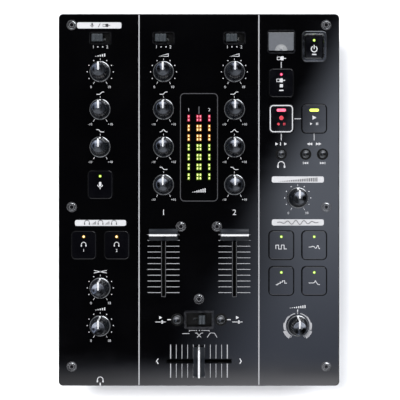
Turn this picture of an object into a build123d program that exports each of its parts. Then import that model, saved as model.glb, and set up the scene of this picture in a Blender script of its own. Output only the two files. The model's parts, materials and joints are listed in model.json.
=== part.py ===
from build123d import *
import os

# Two-channel mixing desk for disc jockeys. Millimetres, +Z up, rear panel towards +Y.
# The origin is on the table under the middle of the overall box.

# ---------------------------------------------------------------- top panel layout
side_section = 62.5
centre_section = 93.0
side_column = 30.1
channel_spacing = 55.0
corner_radius = 3.5
edge_round = 0.8

# Rows are distances from the rear edge of the top panel.
knob_pitch = 29.2
button_width = 18.8
button_depth = 21.8
button_gap = 6.7
button_row_gap = 5.9
fader_travel = 45.0
cross_travel = 44.0

switch_row = 18.9
trim_row = switch_row + 26.2
high_row = trim_row + knob_pitch
mid_row = high_row + knob_pitch
low_row = mid_row + knob_pitch
fader_top_row = low_row + 38.7
fader_end_row = fader_top_row + fader_travel
curve_row = fader_end_row + 21.0
cross_row = curve_row + 32.2
panel_depth = cross_row + 19.3
panel_width = 2 * side_section + centre_section

rear_screw_row = switch_row - 10.1
side_screw_row = low_row + 17.3
front_screw_row = cross_row + 4.3
bracket_screw_row = fader_top_row - 6.2
cross_screw_row = fader_end_row + 4.9

cue_row = fader_top_row + 8.2
phones_mix_row = cue_row + 33.2
depth_row = phones_mix_row + knob_pitch
usb_row = switch_row + 2.8
power_row = switch_row + 6.6
usb_stop_row = usb_row + 32.1
record_row = usb_stop_row + button_depth + button_row_gap
small_button_row = record_row + 27.5
master_row = side_screw_row - 7.1
effect_row = cue_row + button_depth + button_row_gap

side_x = centre_section / 2 + side_column
channel_x = channel_spacing / 2
pair_offset = (button_width + button_gap) / 2
search_offset = 6.55
start_offset = 17.0
edge_screw_inset = 10.3
bracket_screw_x = 14.0

# ---------------------------------------------------------------- heights and walls
foot_height = 6.0
case_height = 85.0
panel_thickness = 2.0
skirt_depth = 14.0
skirt_wall = 2.0
lid_gap = 0.3
sheet = 1.5
board_drop = 12.0
board_thickness = 1.6
fit = 0.1

# ---------------------------------------------------------------- rotary controls
shaft_radius = 3.0
shaft_play = 0.06
bushing_wall = 0.44
bushing_height = 2.9
nut_height = 2.0
nut_land = 1.0
knob_lift = 0.8
knob_height = 15.5
knob_wall = 1.1
skirt_radius = 8.2
skirt_height = 1.8
grip_taper = 1.1
pointer_width = 1.5
pointer_depth = 0.6
pot_width = 10.0
pot_depth = 12.0
pot_height = 7.0

# ---------------------------------------------------------------- push buttons
button_radius = 3.0
button_rise = 0.9
button_play = 0.25
button_travel = 0.8
flange_width = 1.2
flange_thickness = 1.2
flange_gap = 0.2
lens_radius = 1.05
lens_depth = 2.5
lens_offset = 6.6
bar_length = 7.2
bar_width = 2.2
stem_size = 6.0
plunger_radius = 1.6
tact_bore = 1.9
tact_height = 5.0
round_radius = 3.1
round_bezel_wall = 0.55
round_bezel_rim = 0.5
start_radius = 3.5
power_width = 13.1
power_depth = 17.5
power_rim = 3.2
power_rise = 1.6

# ---------------------------------------------------------------- slide switches
switch_travel = 4.5
tray_width = 16.4
tray_depth = 8.9
tray_recess = 3.5
tray_wall = 0.6
tray_rim = 0.25
lever_width = 8.7
lever_depth = 5.9
lever_rise = 3.0
lever_stem = 3.0
stem_thickness = 1.6
slot_play = 0.3
switch_body_width = 14.0
switch_body_depth = 7.0
switch_body_height = 7.0
curve_width = 20.8
curve_depth = 11.9
curve_recess = 2.5
curve_rim = 1.2
curve_flange = 1.25
curve_lever_width = 5.1
curve_lever_depth = 6.75

# ---------------------------------------------------------------- faders
slot_width = 2.6
slot_margin = 1.0
blade_width = 1.6
blade_length = 4.0
fader_width = 12.0
fader_height = 10.0
fader_wall = 1.0
fader_end = 12.0
rod_radius = 1.0
carriage_length = 8.0
cap_length = 22.5
cap_depth = 9.0
cap_lift = 1.5
cap_height = 11.5
cap_ridge = 2.6
cap_line = 1.8
cap_taper = 3.7
bracket_thickness = 1.2
bracket_half = 38.0

# ---------------------------------------------------------------- level meter
meter_groups = 7
meter_pitch = 7.55
meter_first_row = trim_row + 35.9
meter_column = 8.0
segment_width = 1.9
segment_length = 2.4
segment_gap = 0.3

# ---------------------------------------------------------------- USB port and its lid
usb_width = 21.7
usb_depth = 18.2
usb_flange = 0.4
usb_rim = 0.5
usb_wall = 0.55
usb_well = 6.6
lid_thickness = 1.8
lid_length = 13.4
lid_play = 0.2
hinge_inset = 1.5
scoop_radius = 5.1
scoop_depth = 1.3
usb_shell_width = 14.5
usb_shell_depth = 7.0
usb_shell_length = 14.0

# ---------------------------------------------------------------- rear and front sockets
rca_pairs = 7
rca_pitch = 16.0
rca_low = 28.0
rca_spacing = 18.0
rca_width = 11.5
rca_height = 34.0
rca_sleeve = 4.15
rca_insulator = 3.4
rca_bore = 1.65
rca_reach = 9.5
socket_depth = 12.0
xlr_inset = 20.7
xlr_spacing = 28.0
xlr_height = 37.0
xlr_flange_width = 26.0
xlr_flange_height = 31.0
xlr_barrel = 11.8
xlr_cavity = 9.5
xlr_depth = 15.0
pin_radius = 1.2
pin_circle = 4.6
pin_length = 12.5
phone_bore = 3.25
phone_bushing = 4.5
phone_nut = 3.0
phone_body = 15.0
phone_length = 24.0
phone_height = 56.0
mic_jack_height = 48.0
control_bore = 1.8
control_bushing = 3.0
control_height = 11.0
inlet_height = 21.0
inlet_width = 28.0
inlet_tall = 18.0
inlet_pin_spacing = 8.6
terminal_length = 12.8
terminal_radius = 4.5
lip_width = 6.5
screw_radius = 1.5
screw_head = 3.1
dimple_radius = 4.1
dimple_depth = 0.5
foot_radius = 9.0
foot_inset = 22.0
vent_count = 12
vent_pitch = 6.0

# ---------------------------------------------------------------- derived places
front_reach = phone_nut - skirt_wall - lid_gap
rear_reach = terminal_length - skirt_wall - lid_gap
panel_y = (front_reach - rear_reach) / 2
rear_edge = panel_y + panel_depth / 2
front_edge = panel_y - panel_depth / 2
rear_face = rear_edge - skirt_wall - lid_gap
front_face = front_edge + skirt_wall + lid_gap
case_width = panel_width - 2 * (skirt_wall + lid_gap)
inner_x = case_width / 2 - sheet
rear_inside = rear_face - sheet

case_under = foot_height
case_floor = case_under + sheet
panel_top = foot_height + case_height
panel_under = panel_top - panel_thickness
board_top = panel_under - board_drop
board_under = board_top - board_thickness
tact_top = board_top + tact_height
bushing_radius = shaft_radius + shaft_play + bushing_wall
nut_flat = 2 * (bushing_radius + nut_land)
cavity_radius = nut_flat / 3**0.5 + 0.4
grip_radius = cavity_radius + knob_wall
bracket_under = panel_under - bracket_thickness
axle_y = rear_edge - usb_row + usb_depth / 2 - usb_flange - usb_wall - hinge_inset
axle_z = panel_top - lid_play - lid_thickness / 2
usb_x = side_x - pair_offset


def at_row(row):
    """The y value of a row on the top panel."""
    return rear_edge - row


# Every control sits at (x, row).
knob_places = {
    "mic_level_knob": (-side_x, trim_row),
    "mic_high_knob": (-side_x, high_row),
    "mic_low_knob": (-side_x, mid_row),
    "phones_mix_knob": (-side_x, phones_mix_row),
    "phones_level_knob": (-side_x, depth_row),
    "master_level_knob": (side_x, master_row),
    "effect_depth_knob": (side_x, depth_row),
}
for channel, x in (("ch1", -channel_x), ("ch2", channel_x)):
    for band, row in (("trim", trim_row), ("high", high_row), ("mid", mid_row), ("low", low_row)):
        knob_places[f"{channel}_{band}_knob"] = (x, row)

button_places = {
    "mic_on_button": (-side_x, low_row),
    "ch1_cue_button": (-side_x - pair_offset, cue_row),
    "ch2_cue_button": (-side_x + pair_offset, cue_row),
    "usb_stop_button": (side_x - pair_offset, usb_stop_row),
    "effect_1_button": (side_x - pair_offset, cue_row),
    "effect_2_button": (side_x + pair_offset, cue_row),
    "effect_3_button": (side_x - pair_offset, effect_row),
    "effect_4_button": (side_x + pair_offset, effect_row),
}
bar_button_places = {
    "record_button": (side_x - pair_offset, record_row),
    "play_button": (side_x + pair_offset, record_row),
}
round_places = {
    "track_mark_button": (side_x - pair_offset, small_button_row, round_radius),
    "search_back_button": (side_x + pair_offset - search_offset, small_button_row, round_radius),
    "search_forward_button": (side_x + pair_offset + search_offset, small_button_row, round_radius),
    "fader_start_1_button": (-start_offset, curve_row, start_radius),
    "fader_start_2_button": (start_offset, curve_row, start_radius),
}
power_place = (side_x + pair_offset, power_row)
switch_places = {
    "mic_input_switch": (-side_x, switch_row),
    "ch1_input_switch": (-channel_x, switch_row),
    "ch2_input_switch": (channel_x, switch_row),
}
edge_screws = []
for x in (edge_screw_inset - panel_width / 2, panel_width / 2 - edge_screw_inset):
    for row in (rear_screw_row, side_screw_row, front_screw_row):
        edge_screws.append((x, row))
bracket_screws = [
    (-bracket_screw_x, bracket_screw_row),
    (bracket_screw_x, bracket_screw_row),
    (0, cross_screw_row),
]
rear_screws = []
for x in (3.2 - inner_x, inner_x - 3.2):
    for height in (case_under + 6, case_under + 62):
        rear_screws.append((x, height))
xlr_places = [case_width / 2 - xlr_inset - xlr_spacing, case_width / 2 - xlr_inset]
rca_places = [xlr_places[0] - 22 - i * rca_pitch for i in range(rca_pairs)]
inlet_x = xlr_inset - case_width / 2
control_places = [rca_places[3], rca_places[5]]
terminal_x = rca_places[2]
foot_places = []
for x in (foot_inset - case_width / 2, case_width / 2 - foot_inset):
    for y in (front_face + foot_inset, rear_face - foot_inset):
        foot_places.append((x, y))


# ---------------------------------------------------------------- plain shapes
def block(x, y, low, high, width, depth):
    """Upright block between two heights."""
    return Pos(x, y, (low + high) / 2) * Box(width, depth, high - low)


def slab(x, y, low, high, width, depth, radius):
    """Upright block with rounded corners."""
    return Pos(x, y, low) * extrude(RectangleRounded(width, depth, radius), high - low)


def rod(x, y, low, high, radius):
    """Upright cylinder between two heights."""
    return Pos(x, y, low) * extrude(Circle(radius), high - low)


def ring(x, y, low, high, outer, inner):
    """Upright tube between two heights."""
    return rod(x, y, low, high, outer) - rod(x, y, low - 1, high + 1, inner)


def level_rod(x, z, front, rear, radius):
    """Cylinder lying along Y from its front end to its rear end."""
    return Pos(x, front, z) * Rot(-90, 0, 0) * extrude(Circle(radius), rear - front)


def level_slab(x, z, front, rear, width, height, radius):
    """Block lying along Y with its four long edges rounded."""
    outline = RectangleRounded(width, height, radius)
    return Pos(x, front, z) * Rot(-90, 0, 0) * extrude(outline, rear - front)


def group(pieces):
    """Several separate solids kept together as one sub-part."""
    return Compound(children=list(pieces))


# ---------------------------------------------------------------- case
def top_panel():
    """Tray-shaped lid with every opening for the controls."""
    low = panel_under - 1
    high = panel_top + 1
    skirt_low = panel_top - skirt_depth
    lid = slab(0, panel_y, skirt_low, panel_top, panel_width, panel_depth, corner_radius)
    lid = fillet(lid.edges().group_by(Axis.Z)[-1], edge_round)
    inside = (panel_width - 2 * skirt_wall, panel_depth - 2 * skirt_wall, corner_radius - skirt_wall)
    cuts = [slab(0, panel_y, skirt_low - 1, panel_under, *inside)]
    for x, row in knob_places.values():
        cuts.append(rod(x, at_row(row), low, high, bushing_radius + fit))
    hole_width = button_width + 2 * button_play
    hole_depth = button_depth + 2 * button_play
    for x, row in [*button_places.values(), *bar_button_places.values()]:
        cuts.append(slab(x, at_row(row), low, high, hole_width, hole_depth, button_radius + button_play))
    for x, row, radius in round_places.values():
        cuts.append(rod(x, at_row(row), low, high, round_barrel(radius) + fit))
    power_hole = (power_width + power_rim + 2 * fit, power_depth + power_rim + 2 * fit)
    cuts.append(slab(power_place[0], at_row(power_place[1]), low, high, *power_hole, button_radius))
    for x, row in switch_places.values():
        cuts.append(slab(x, at_row(row), low, high, tray_width + 2 * fit, tray_depth + 2 * fit, 1.3))
    cuts.append(slab(0, at_row(curve_row), low, high, curve_width + 2 * fit, curve_depth + 2 * fit, 2.0))
    cuts.append(slab(usb_x, at_row(usb_row), low, high, *usb_barrel(2 * fit), 2.1))
    cuts += fader_slots(low, high)
    cuts += meter_windows(low, high)
    for x, row in edge_screws + bracket_screws:
        cuts.append(rod(x, at_row(row), low, high, screw_radius + fit))
        cuts.append(rod(x, at_row(row), panel_top - dimple_depth, high, dimple_radius))
    return lid - cuts


def case_wall(side):
    """Side wall of the case with its rear lip and its three screw tabs."""
    depth = rear_inside - front_face - sheet
    middle = rear_inside - depth / 2
    wall = block(side * (inner_x + sheet / 2), middle, case_under, panel_under, sheet, depth)
    lip_x = side * (inner_x - lip_width / 2)
    lip_top = panel_under - skirt_depth
    wall += block(lip_x, rear_inside - sheet / 2, case_floor, lip_top, lip_width, sheet)
    for x, row in edge_screws:
        if x * side > 0:
            reach = inner_x - abs(x) + 5.5
            tab_x = side * (inner_x - reach / 2)
            wall += block(tab_x, at_row(row), panel_under - sheet, panel_under, reach, 9)
    return wall


def lower_case():
    """Steel tray of four welded plates: a floor, a front and two sides."""
    depth = rear_inside - front_face - sheet
    floor = block(0, rear_inside - depth / 2, case_under, case_floor, 2 * inner_x, depth)
    front = block(0, front_face + sheet / 2, case_under, panel_under, case_width, sheet)
    front = fillet(front.edges().filter_by(Axis.Z).group_by(Axis.Y)[0], 1.2)
    hole = screw_radius + fit / 2
    cuts = [rod(x, at_row(row), panel_under - 4, panel_top, hole) for x, row in edge_screws]
    cuts += [rod(x, y, case_under - 1, case_floor + 1, hole) for x, y in foot_places]
    cuts += [level_rod(x, z, rear_inside - 3, rear_face, hole) for x, z in rear_screws]
    phones_height = case_under + phone_height
    cuts.append(level_rod(-side_x, phones_height, front_face - 1, front_face + 4, phone_bushing + fit))
    for i in range(vent_count):
        y = rear_inside - 24 - i * vent_pitch
        cuts.append(block(0, y, case_under + 26, case_under + 44, case_width + 2, 2.4))
        cuts.append(block(0, y, case_under - 1, case_floor + 1, 60, 2.4))
    return group([piece - cuts for piece in (floor, front, case_wall(-1), case_wall(1))])


def rear_panel():
    """Flat plate that carries the sockets."""
    height = panel_under - case_under
    plate = Pos(0, (rear_face + rear_inside) / 2, case_under + height / 2) * Box(case_width, sheet, height)
    plate = fillet(plate.edges().filter_by(Axis.Z).group_by(Axis.Y)[-1], 1.2)
    low = rear_inside - 1
    high = rear_face + 1
    cuts = []
    rca_hole = (rca_width - 1 + 2 * fit, rca_height - 2 + 2 * fit)
    for x in rca_places:
        cuts.append(level_slab(x, rca_middle(), low, high, *rca_hole, 1))
    for x in xlr_places:
        cuts.append(level_rod(x, case_under + xlr_height, low, high, xlr_barrel + fit))
    cuts.append(level_rod(inlet_x, case_under + mic_jack_height, low, high, phone_bushing + fit))
    for x in control_places:
        cuts.append(level_rod(x, case_under + control_height, low, high, control_bushing + fit))
    inlet_hole = (inlet_width - 7 + 2 * fit, inlet_tall - 5.4 + 2 * fit)
    cuts.append(level_slab(inlet_x, case_under + inlet_height, low, high, *inlet_hole, 4.2))
    cuts.append(level_rod(terminal_x, case_under + control_height, low, high, 2 + fit))
    cuts.append(level_slab(rca_places[0], case_under + control_height, low, high, 3, 7, 0.8))
    for x, z in rear_screws:
        cuts.append(level_rod(x, z, low, high, screw_radius + fit))
    return plate - cuts


def feet():
    """Four rubber feet with a recess for the screw."""
    pieces = []
    for x, y in foot_places:
        foot = chamfer(rod(x, y, 0, foot_height, foot_radius).edges().group_by(Axis.Z)[0], 0.8)
        foot -= rod(x, y, -1, foot_height / 2, screw_head + 0.6)
        pieces.append(foot - rod(x, y, 0, foot_height + 1, screw_radius + fit / 2))
    return group(pieces)


def cross_recess(x, y, top):
    """Cross-shaped drive recess in a screw head."""
    return [block(x, y, top - 0.7, top + 1, 3.6, 0.8), block(x, y, top - 0.7, top + 1, 0.8, 3.6)]


def screws():
    """Every visible screw: panel, rear panel and feet."""
    pieces = []
    seat = panel_top - dimple_depth
    head_top = seat + 1.1
    for x, row in edge_screws + bracket_screws:
        y = at_row(row)
        head = rod(x, y, seat, head_top, screw_head)
        head = chamfer(head.edges().group_by(Axis.Z)[-1], 0.4)
        screw = head + rod(x, y, panel_under - 5, seat, screw_radius)
        pieces.append(screw - cross_recess(x, y, head_top))
    for x, z in rear_screws:
        screw = rod(0, 0, 0, 1.4, 2.6) + rod(0, 0, -6, 0, screw_radius)
        pieces.append(Pos(x, rear_face, z) * Rot(-90, 0, 0) * (screw - cross_recess(0, 0, 1.4)))
    for x, y in foot_places:
        screw = rod(0, 0, -foot_height / 2, 1.2 - foot_height / 2, screw_head)
        screw += rod(0, 0, -foot_height - 4, -foot_height / 2, screw_radius)
        pieces.append(Pos(x, y, 0) * Rot(180, 0, 0) * (screw - cross_recess(0, 0, 1.2 - foot_height / 2)))
    return group(pieces)


# ---------------------------------------------------------------- boards and supply
def control_board():
    """Board under the panel, hung on the rotary controls, with a gap for the USB socket."""
    width = 2 * inner_x - 8
    depth = panel_depth - 18
    board = block(0, panel_y, board_under, board_top, width, depth)
    low = board_under - 1
    high = board_top + 1
    board -= block(usb_x, at_row(usb_row), low, high, usb_shell_width + 0.4, usb_shell_depth + 0.4)
    for x, row in edge_screws:
        board -= block(x, at_row(row), low, high, 16, 12)
    return board


def jack_board():
    """Upright board behind the phono sockets."""
    first = rca_places[-1] - 8
    last = rca_places[0] + 8
    y = rear_inside - socket_depth - board_thickness / 2
    return block((first + last) / 2, y, case_under + 4, case_under + 60, last - first, board_thickness)


def power_supply():
    """Supply board on four pillars with a transformer, two capacitors and a heat sink."""
    x = inlet_x + 22
    y = rear_inside - 72
    board = case_floor + 6
    top = board + board_thickness
    pieces = [block(x, y, board, top, 72, 62)]
    for side_a in (-30, 30):
        for side_b in (-26, 26):
            pieces.append(rod(x + side_a, y + side_b, case_floor, board, 3))
    pieces.append(block(x - 14, y + 8, top, top + 22, 30, 26))
    pieces.append(rod(x + 14, y + 16, top, top + 20, 6.5))
    pieces.append(rod(x + 14, y, top, top + 20, 6.5))
    pieces.append(block(x, y - 18, top, top + 24, 46, 3))
    return group(pieces)


# ---------------------------------------------------------------- rotary controls
def rotary_pots():
    """A body and bushing for each knob, with the hexagon nut that clamps it to the panel."""
    pieces = []
    for x, row in knob_places.values():
        y = at_row(row)
        pot = block(x, y, board_top, board_top + pot_height, pot_width, pot_depth)
        pot += rod(x, y, board_top, panel_top + bushing_height, bushing_radius)
        pot -= rod(x, y, board_top + 1.5, panel_top + bushing_height + 1, shaft_radius + shaft_play)
        nut = Pos(x, y, panel_top) * extrude(RegularPolygon(nut_flat / 3**0.5, 6), nut_height)
        pieces += [pot, nut - rod(x, y, panel_top - 1, panel_top + nut_height + 1, bushing_radius + 0.05)]
    return group(pieces)


def grip(shrink):
    """Tapered grip of a knob, made smaller all round by shrink."""
    low = panel_top + knob_lift + skirt_height
    high = panel_top + knob_height - shrink
    radius = grip_radius - shrink
    return Pos(0, 0, (low + high) / 2) * Cone(radius, radius - grip_taper, high - low)


def knob(x, row):
    """Knob with a skirt, an inlaid white pointer and the control's own shaft."""
    low = panel_top + knob_lift
    high = panel_top + knob_height
    skirt = rod(0, 0, low, low + skirt_height, skirt_radius)
    skirt = chamfer(skirt.edges().group_by(Axis.Z)[-1], 0.6)
    form = fillet(grip(0).edges().group_by(Axis.Z)[-1], 0.5)
    band = block(0, skirt_radius / 2, low + skirt_height, high + 1, pointer_width, skirt_radius)
    pointer = (form & band) - grip(pointer_depth)
    body = skirt + form - pointer
    body -= rod(0, 0, low - 1, panel_top + bushing_height + 0.5, cavity_radius)
    body -= rod(0, 0, low, high - 3.5, shaft_radius + 0.02)
    shaft = rod(0, 0, board_top + 1.7, high - 3.6, shaft_radius)
    place = Pos(x, at_row(row), 0)
    return group([place * body, place * pointer, place * shaft])


# ---------------------------------------------------------------- push buttons
def round_barrel(radius):
    """Outer radius of the barrel of a round button's bezel."""
    return radius + button_play + round_bezel_wall


def plunger(x, y, top):
    """Stem under a button that reaches into its switch."""
    stem = block(x, y, tact_top + button_travel + 0.2, top, stem_size, stem_size)
    return stem + rod(x, y, tact_top - 1.2, top, plunger_radius)


def lens(x, y, top, length, width):
    """Light guide standing in a blind hole of a button."""
    if length > width:
        return slab(x, y, top - lens_depth, top, length, width, width / 2 - 0.05)
    return rod(x, y, top - lens_depth, top, length / 2)


def square_button(x, row, length, width):
    """Rounded square cap with a flange under the panel, a stem and a light guide."""
    y = at_row(row)
    top = panel_top + button_rise
    under = panel_under - flange_gap - flange_thickness
    cap = slab(x, y, under, top, button_width, button_depth, button_radius)
    cap = fillet(cap.edges().group_by(Axis.Z)[-1], 0.4)
    flange = (button_width + 2 * flange_width, button_depth + 2 * flange_width)
    cap += slab(x, y, under, under + flange_thickness, *flange, button_radius + flange_width)
    cap += plunger(x, y, under)
    cap -= lens(x, y + lens_offset, top, length + fit, width + fit)
    return group([cap, lens(x, y + lens_offset, top, length, width)])


def power_button():
    """Recessed power button with its light guide."""
    x, row = power_place
    y = at_row(row)
    top = panel_top + 0.3
    under = panel_under - 2.4
    cap = slab(x, y, under, top, power_width, power_depth, 1.2)
    cap = fillet(cap.edges().group_by(Axis.Z)[-1], 0.4)
    flange = (power_width + 2 * flange_width, power_depth + 2 * flange_width)
    cap += slab(x, y, under, under + flange_thickness, *flange, 2)
    cap += plunger(x, y, under)
    cap -= lens(x, y + power_depth / 3.6, top, 2 * lens_radius + fit, 2 * lens_radius + fit)
    return group([cap, lens(x, y + power_depth / 3.6, top, 2 * lens_radius, 2 * lens_radius)])


def round_button(x, row, radius):
    """Small round button with a dished face."""
    y = at_row(row)
    top = panel_top + 0.6
    under = panel_under - 2.0
    cap = rod(x, y, under, top, radius)
    cap -= Pos(x, y, top + 9.6) * Sphere(10)
    cap += rod(x, y, under, under + 1.0, radius + flange_width)
    return cap + plunger(x, y, under)


def tact_switches():
    """A push switch on the board under every button."""
    places = [*button_places.values(), *bar_button_places.values(), power_place]
    places += [(x, row) for x, row, radius in round_places.values()]
    pieces = []
    for x, row in places:
        switch = block(x, at_row(row), board_top, tact_top, stem_size, stem_size)
        pieces.append(switch - rod(x, at_row(row), tact_top - 3.2, tact_top + 1, tact_bore))
    return group(pieces)


# ---------------------------------------------------------------- slide switches
def slide_tray(x, y, width, depth, recess, rim, flange, opening):
    """Sunk tray with a slot in its floor and a rim on the panel."""
    floor = panel_top - recess
    tray = slab(x, y, floor - 0.8, panel_top, width, depth, 1.8 if flange > 1 else 1.2)
    tray += slab(x, y, panel_top, panel_top + rim, width + 2 * flange, depth + 2 * flange, 2.0)
    tray -= slab(x, y, floor, panel_top + rim + 1, width - 2 * tray_wall, depth - 2 * tray_wall, 0.6)
    return tray - block(x, y, floor - 2, floor + 1, opening, stem_thickness + 2 * slot_play)


def slot_length(travel):
    """Length of the slot that a slide switch's stem runs in."""
    return travel + lever_stem + 2 * slot_play


def slide_lever(x, row, width, depth, recess, shift):
    """Slide switch lever with three grip ribs, resting beside the middle by shift."""
    y = at_row(row)
    x = x + shift
    top = panel_top + lever_rise
    low = panel_top - recess + 0.2
    lever = block(x, y, low, top, width, depth)
    rib = width / 5
    for side in (-1, 1):
        lever -= block(x + side * rib, y, top - 0.9, top + 1, rib, depth + 1)
    lever = lever + block(x, y, switch_top() - 3, low, lever_stem, stem_thickness)
    return lever


def switch_top():
    """Top of the slide switch bodies on the board."""
    return board_top + switch_body_height


def slide_switch_bodies():
    """The switch under each lever."""
    places = [*switch_places.values(), (0, curve_row)]
    pieces = []
    for x, row in places:
        y = at_row(row)
        body = block(x, y, board_top, switch_top(), switch_body_width, switch_body_depth)
        groove = (slot_length(switch_travel), stem_thickness + 2 * slot_play)
        pieces.append(body - block(x, y, switch_top() - 4, switch_top() + 1, *groove))
    return group(pieces)


# ---------------------------------------------------------------- faders
def fader_places():
    """Middle of each fader's travel, its travel and its turn about Z."""
    middle = (fader_top_row + fader_end_row) / 2
    return [
        (-channel_x, at_row(middle), fader_travel, 0),
        (channel_x, at_row(middle), fader_travel, 0),
        (0, at_row(cross_row), cross_travel, 90),
    ]


def slot_cut(travel, low, high):
    """Slot that a fader's blade runs in."""
    return block(0, 0, low, high, slot_width, travel + blade_length + 2 * slot_margin)


def fader_slots(low, high):
    """The three fader slots between two heights."""
    cuts = []
    for x, y, travel, turn in fader_places():
        cuts.append(Pos(x, y, 0) * Rot(0, 0, turn) * slot_cut(travel, low, high))
    return cuts


def fader_bodies():
    """Closed channels with a guide rod, hung under the bracket."""
    pieces = []
    high = bracket_under
    low = high - fader_height
    for x, y, travel, turn in fader_places():
        length = travel + 2 * fader_end
        hollow = (fader_width - 2 * fader_wall, length - 2 * fader_wall)
        reach = (length - fader_wall) / 2
        shell = block(0, 0, low, high, fader_width, length)
        shell -= block(0, 0, low + fader_wall, high - fader_wall, *hollow)
        shell -= slot_cut(travel, high - fader_wall - 1, high + 1)
        shell += level_rod(0, low + 3.5, -reach, reach, rod_radius)
        pieces.append(Pos(x, y, 0) * Rot(0, 0, turn) * shell)
    return group(pieces)


def fader_bracket():
    """Plate under the panel that carries the faders."""
    rear = at_row(bracket_screw_row - 7)
    front = at_row(cross_row + 10)
    plate = block(0, (rear + front) / 2, bracket_under, panel_under, 2 * bracket_half, rear - front)
    low = bracket_under - 1
    high = panel_under + 1
    cuts = fader_slots(low, high)
    cuts.append(block(0, at_row(curve_row), low, high, curve_width + 3, curve_depth + 3))
    button_hole = start_radius + flange_width + 0.6
    for side in (-1, 1):
        cuts.append(rod(side * start_offset, at_row(curve_row), low, high, button_hole))
    for x, row in bracket_screws:
        cuts.append(rod(x, at_row(row), low, high, screw_radius + fit / 2))
    return plate - cuts


def cap_block(shrink):
    """Tapered block that trims the ends of a fader cap."""
    low = panel_top + cap_lift - 1
    outline = Rectangle(cap_length - 2 * shrink, cap_depth + 2)
    return Pos(0, 0, low) * extrude(outline, cap_height + 1 - shrink, taper=cap_taper)


def cap_form():
    """Fader cap with two scooped flanks and a ridge along its middle."""
    half = cap_depth / 2
    ridge = cap_ridge / 2
    low = panel_top + cap_lift
    high = low + cap_height
    right = ThreePointArc((half - 0.4, low + 3.5), (ridge + 1.0, low + 6.2), (ridge, high))
    left = ThreePointArc((-ridge, high), (-ridge - 1.0, low + 6.2), (0.4 - half, low + 3.5))
    edges = [
        Line((-half, low), (half, low)),
        Line((half, low), (half - 0.4, low + 3.5)),
        right,
        Line((ridge, high), (-ridge, high)),
        left,
        Line((0.4 - half, low + 3.5), (-half, low)),
    ]
    profile = Plane.YZ * make_face(Curve() + edges)
    return extrude(profile, cap_length / 2, both=True) & cap_block(0)


def fader(x, y, turn):
    """Carriage and blade, the cap pushed on the blade, and the white line let into the cap."""
    low = bracket_under - fader_height
    carriage_low = low + fader_wall + 0.3
    carriage_width = fader_width - 2 * fader_wall - 1
    carriage = block(0, 0, carriage_low, carriage_low + 6, carriage_width, carriage_length)
    carriage -= level_rod(0, low + 3.5, -carriage_length, carriage_length, rod_radius + shaft_play)
    blade_top = panel_top + cap_lift + 5
    carriage += block(0, 0, carriage_low + 5, blade_top, blade_width, blade_length)
    form = cap_form()
    band = block(0, 0, panel_top, blade_top + cap_height, cap_length + 2, cap_line)
    line = (form & band) - cap_block(0.6)
    cap = form - line - block(0, 0, panel_top, blade_top, blade_width, blade_length)
    place = Pos(x, y, 0) * Rot(0, 0, turn)
    return group([place * carriage, place * cap, place * line])


# ---------------------------------------------------------------- level meter
def meter_columns():
    """Middle and number of lamps side by side of each meter column."""
    return [(-meter_column, 1), (0, 2), (meter_column, 1)]


def meter_windows(low, high):
    """Window in the panel for each group of lamps."""
    cuts = []
    length = 2 * segment_length + segment_gap + 2 * fit
    for i in range(meter_groups):
        y = at_row(meter_first_row + i * meter_pitch)
        for x, count in meter_columns():
            width = count * (segment_width + segment_gap) - segment_gap + 2 * fit
            cuts.append(block(x, y, low, high, width, length))
    return cuts


def meter_leds():
    """Lamp carrier on the board and the lamps that fill the windows."""
    first = at_row(meter_first_row) + meter_pitch / 2
    last = at_row(meter_first_row + (meter_groups - 1) * meter_pitch) - meter_pitch / 2
    shelf = panel_under - 1.5
    width = 2 * meter_column + 6
    pieces = [block(0, (first + last) / 2, board_top, shelf, width, first - last)]
    across = segment_width + segment_gap
    along = segment_length + segment_gap
    top = panel_top - fit
    for i in range(meter_groups):
        y = at_row(meter_first_row + i * meter_pitch)
        for x, count in meter_columns():
            for j in range(count):
                lamp_x = x + (j - (count - 1) / 2) * across
                for side in (-0.5, 0.5):
                    lamp_y = y + side * along
                    pieces.append(block(lamp_x, lamp_y, shelf, top, segment_width, segment_length))
    return group(pieces)


# ---------------------------------------------------------------- bezels and USB port
def usb_barrel(extra):
    """Width and depth of the part of the USB bezel that fills the panel opening."""
    return usb_width - 2 * usb_flange + extra, usb_depth - 2 * usb_flange + extra


def usb_bezel():
    """Well around the USB socket with two bearing holes for the lid."""
    y = at_row(usb_row)
    floor = panel_top - usb_well
    bezel = slab(usb_x, y, floor - 0.8, panel_top, *usb_barrel(0), 2.0)
    bezel += slab(usb_x, y, panel_top, panel_top + usb_rim, usb_width, usb_depth, 2.4)
    bezel -= slab(usb_x, y, floor, panel_top + 2, *usb_barrel(-2 * usb_wall), 0.4)
    bezel -= block(usb_x, y, floor - 2, floor + 1, usb_shell_width - 1.1, usb_shell_depth - 1.0)
    bore = Cylinder(lid_thickness / 2 + fit, usb_width - 2 * usb_flange + 0.1, rotation=(0, 90, 0))
    return bezel - Pos(usb_x, axle_y, axle_z) * bore


def usb_lid():
    """Hinged dust lid with a thumb scoop at its front edge."""
    width = usb_barrel(-2 * usb_wall)[0] - 2 * lid_play
    radius = lid_thickness / 2
    front = axle_y - lid_length
    plate = block(usb_x, axle_y - lid_length / 2, axle_z - radius, axle_z + radius, width, lid_length)
    plate = fillet(plate.edges().filter_by(Axis.Z).group_by(Axis.Y)[0], 1.2)
    plate += Pos(usb_x, axle_y, axle_z) * Cylinder(radius, width, rotation=(0, 90, 0))
    plate += Pos(usb_x, axle_y, axle_z) * Cylinder(radius - 0.02, usb_barrel(-0.3)[0], rotation=(0, 90, 0))
    bowl = (scoop_radius**2 + scoop_depth**2) / (2 * scoop_depth)
    return plate - Pos(usb_x, front, axle_z + radius - scoop_depth + bowl) * Sphere(bowl)


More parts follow.
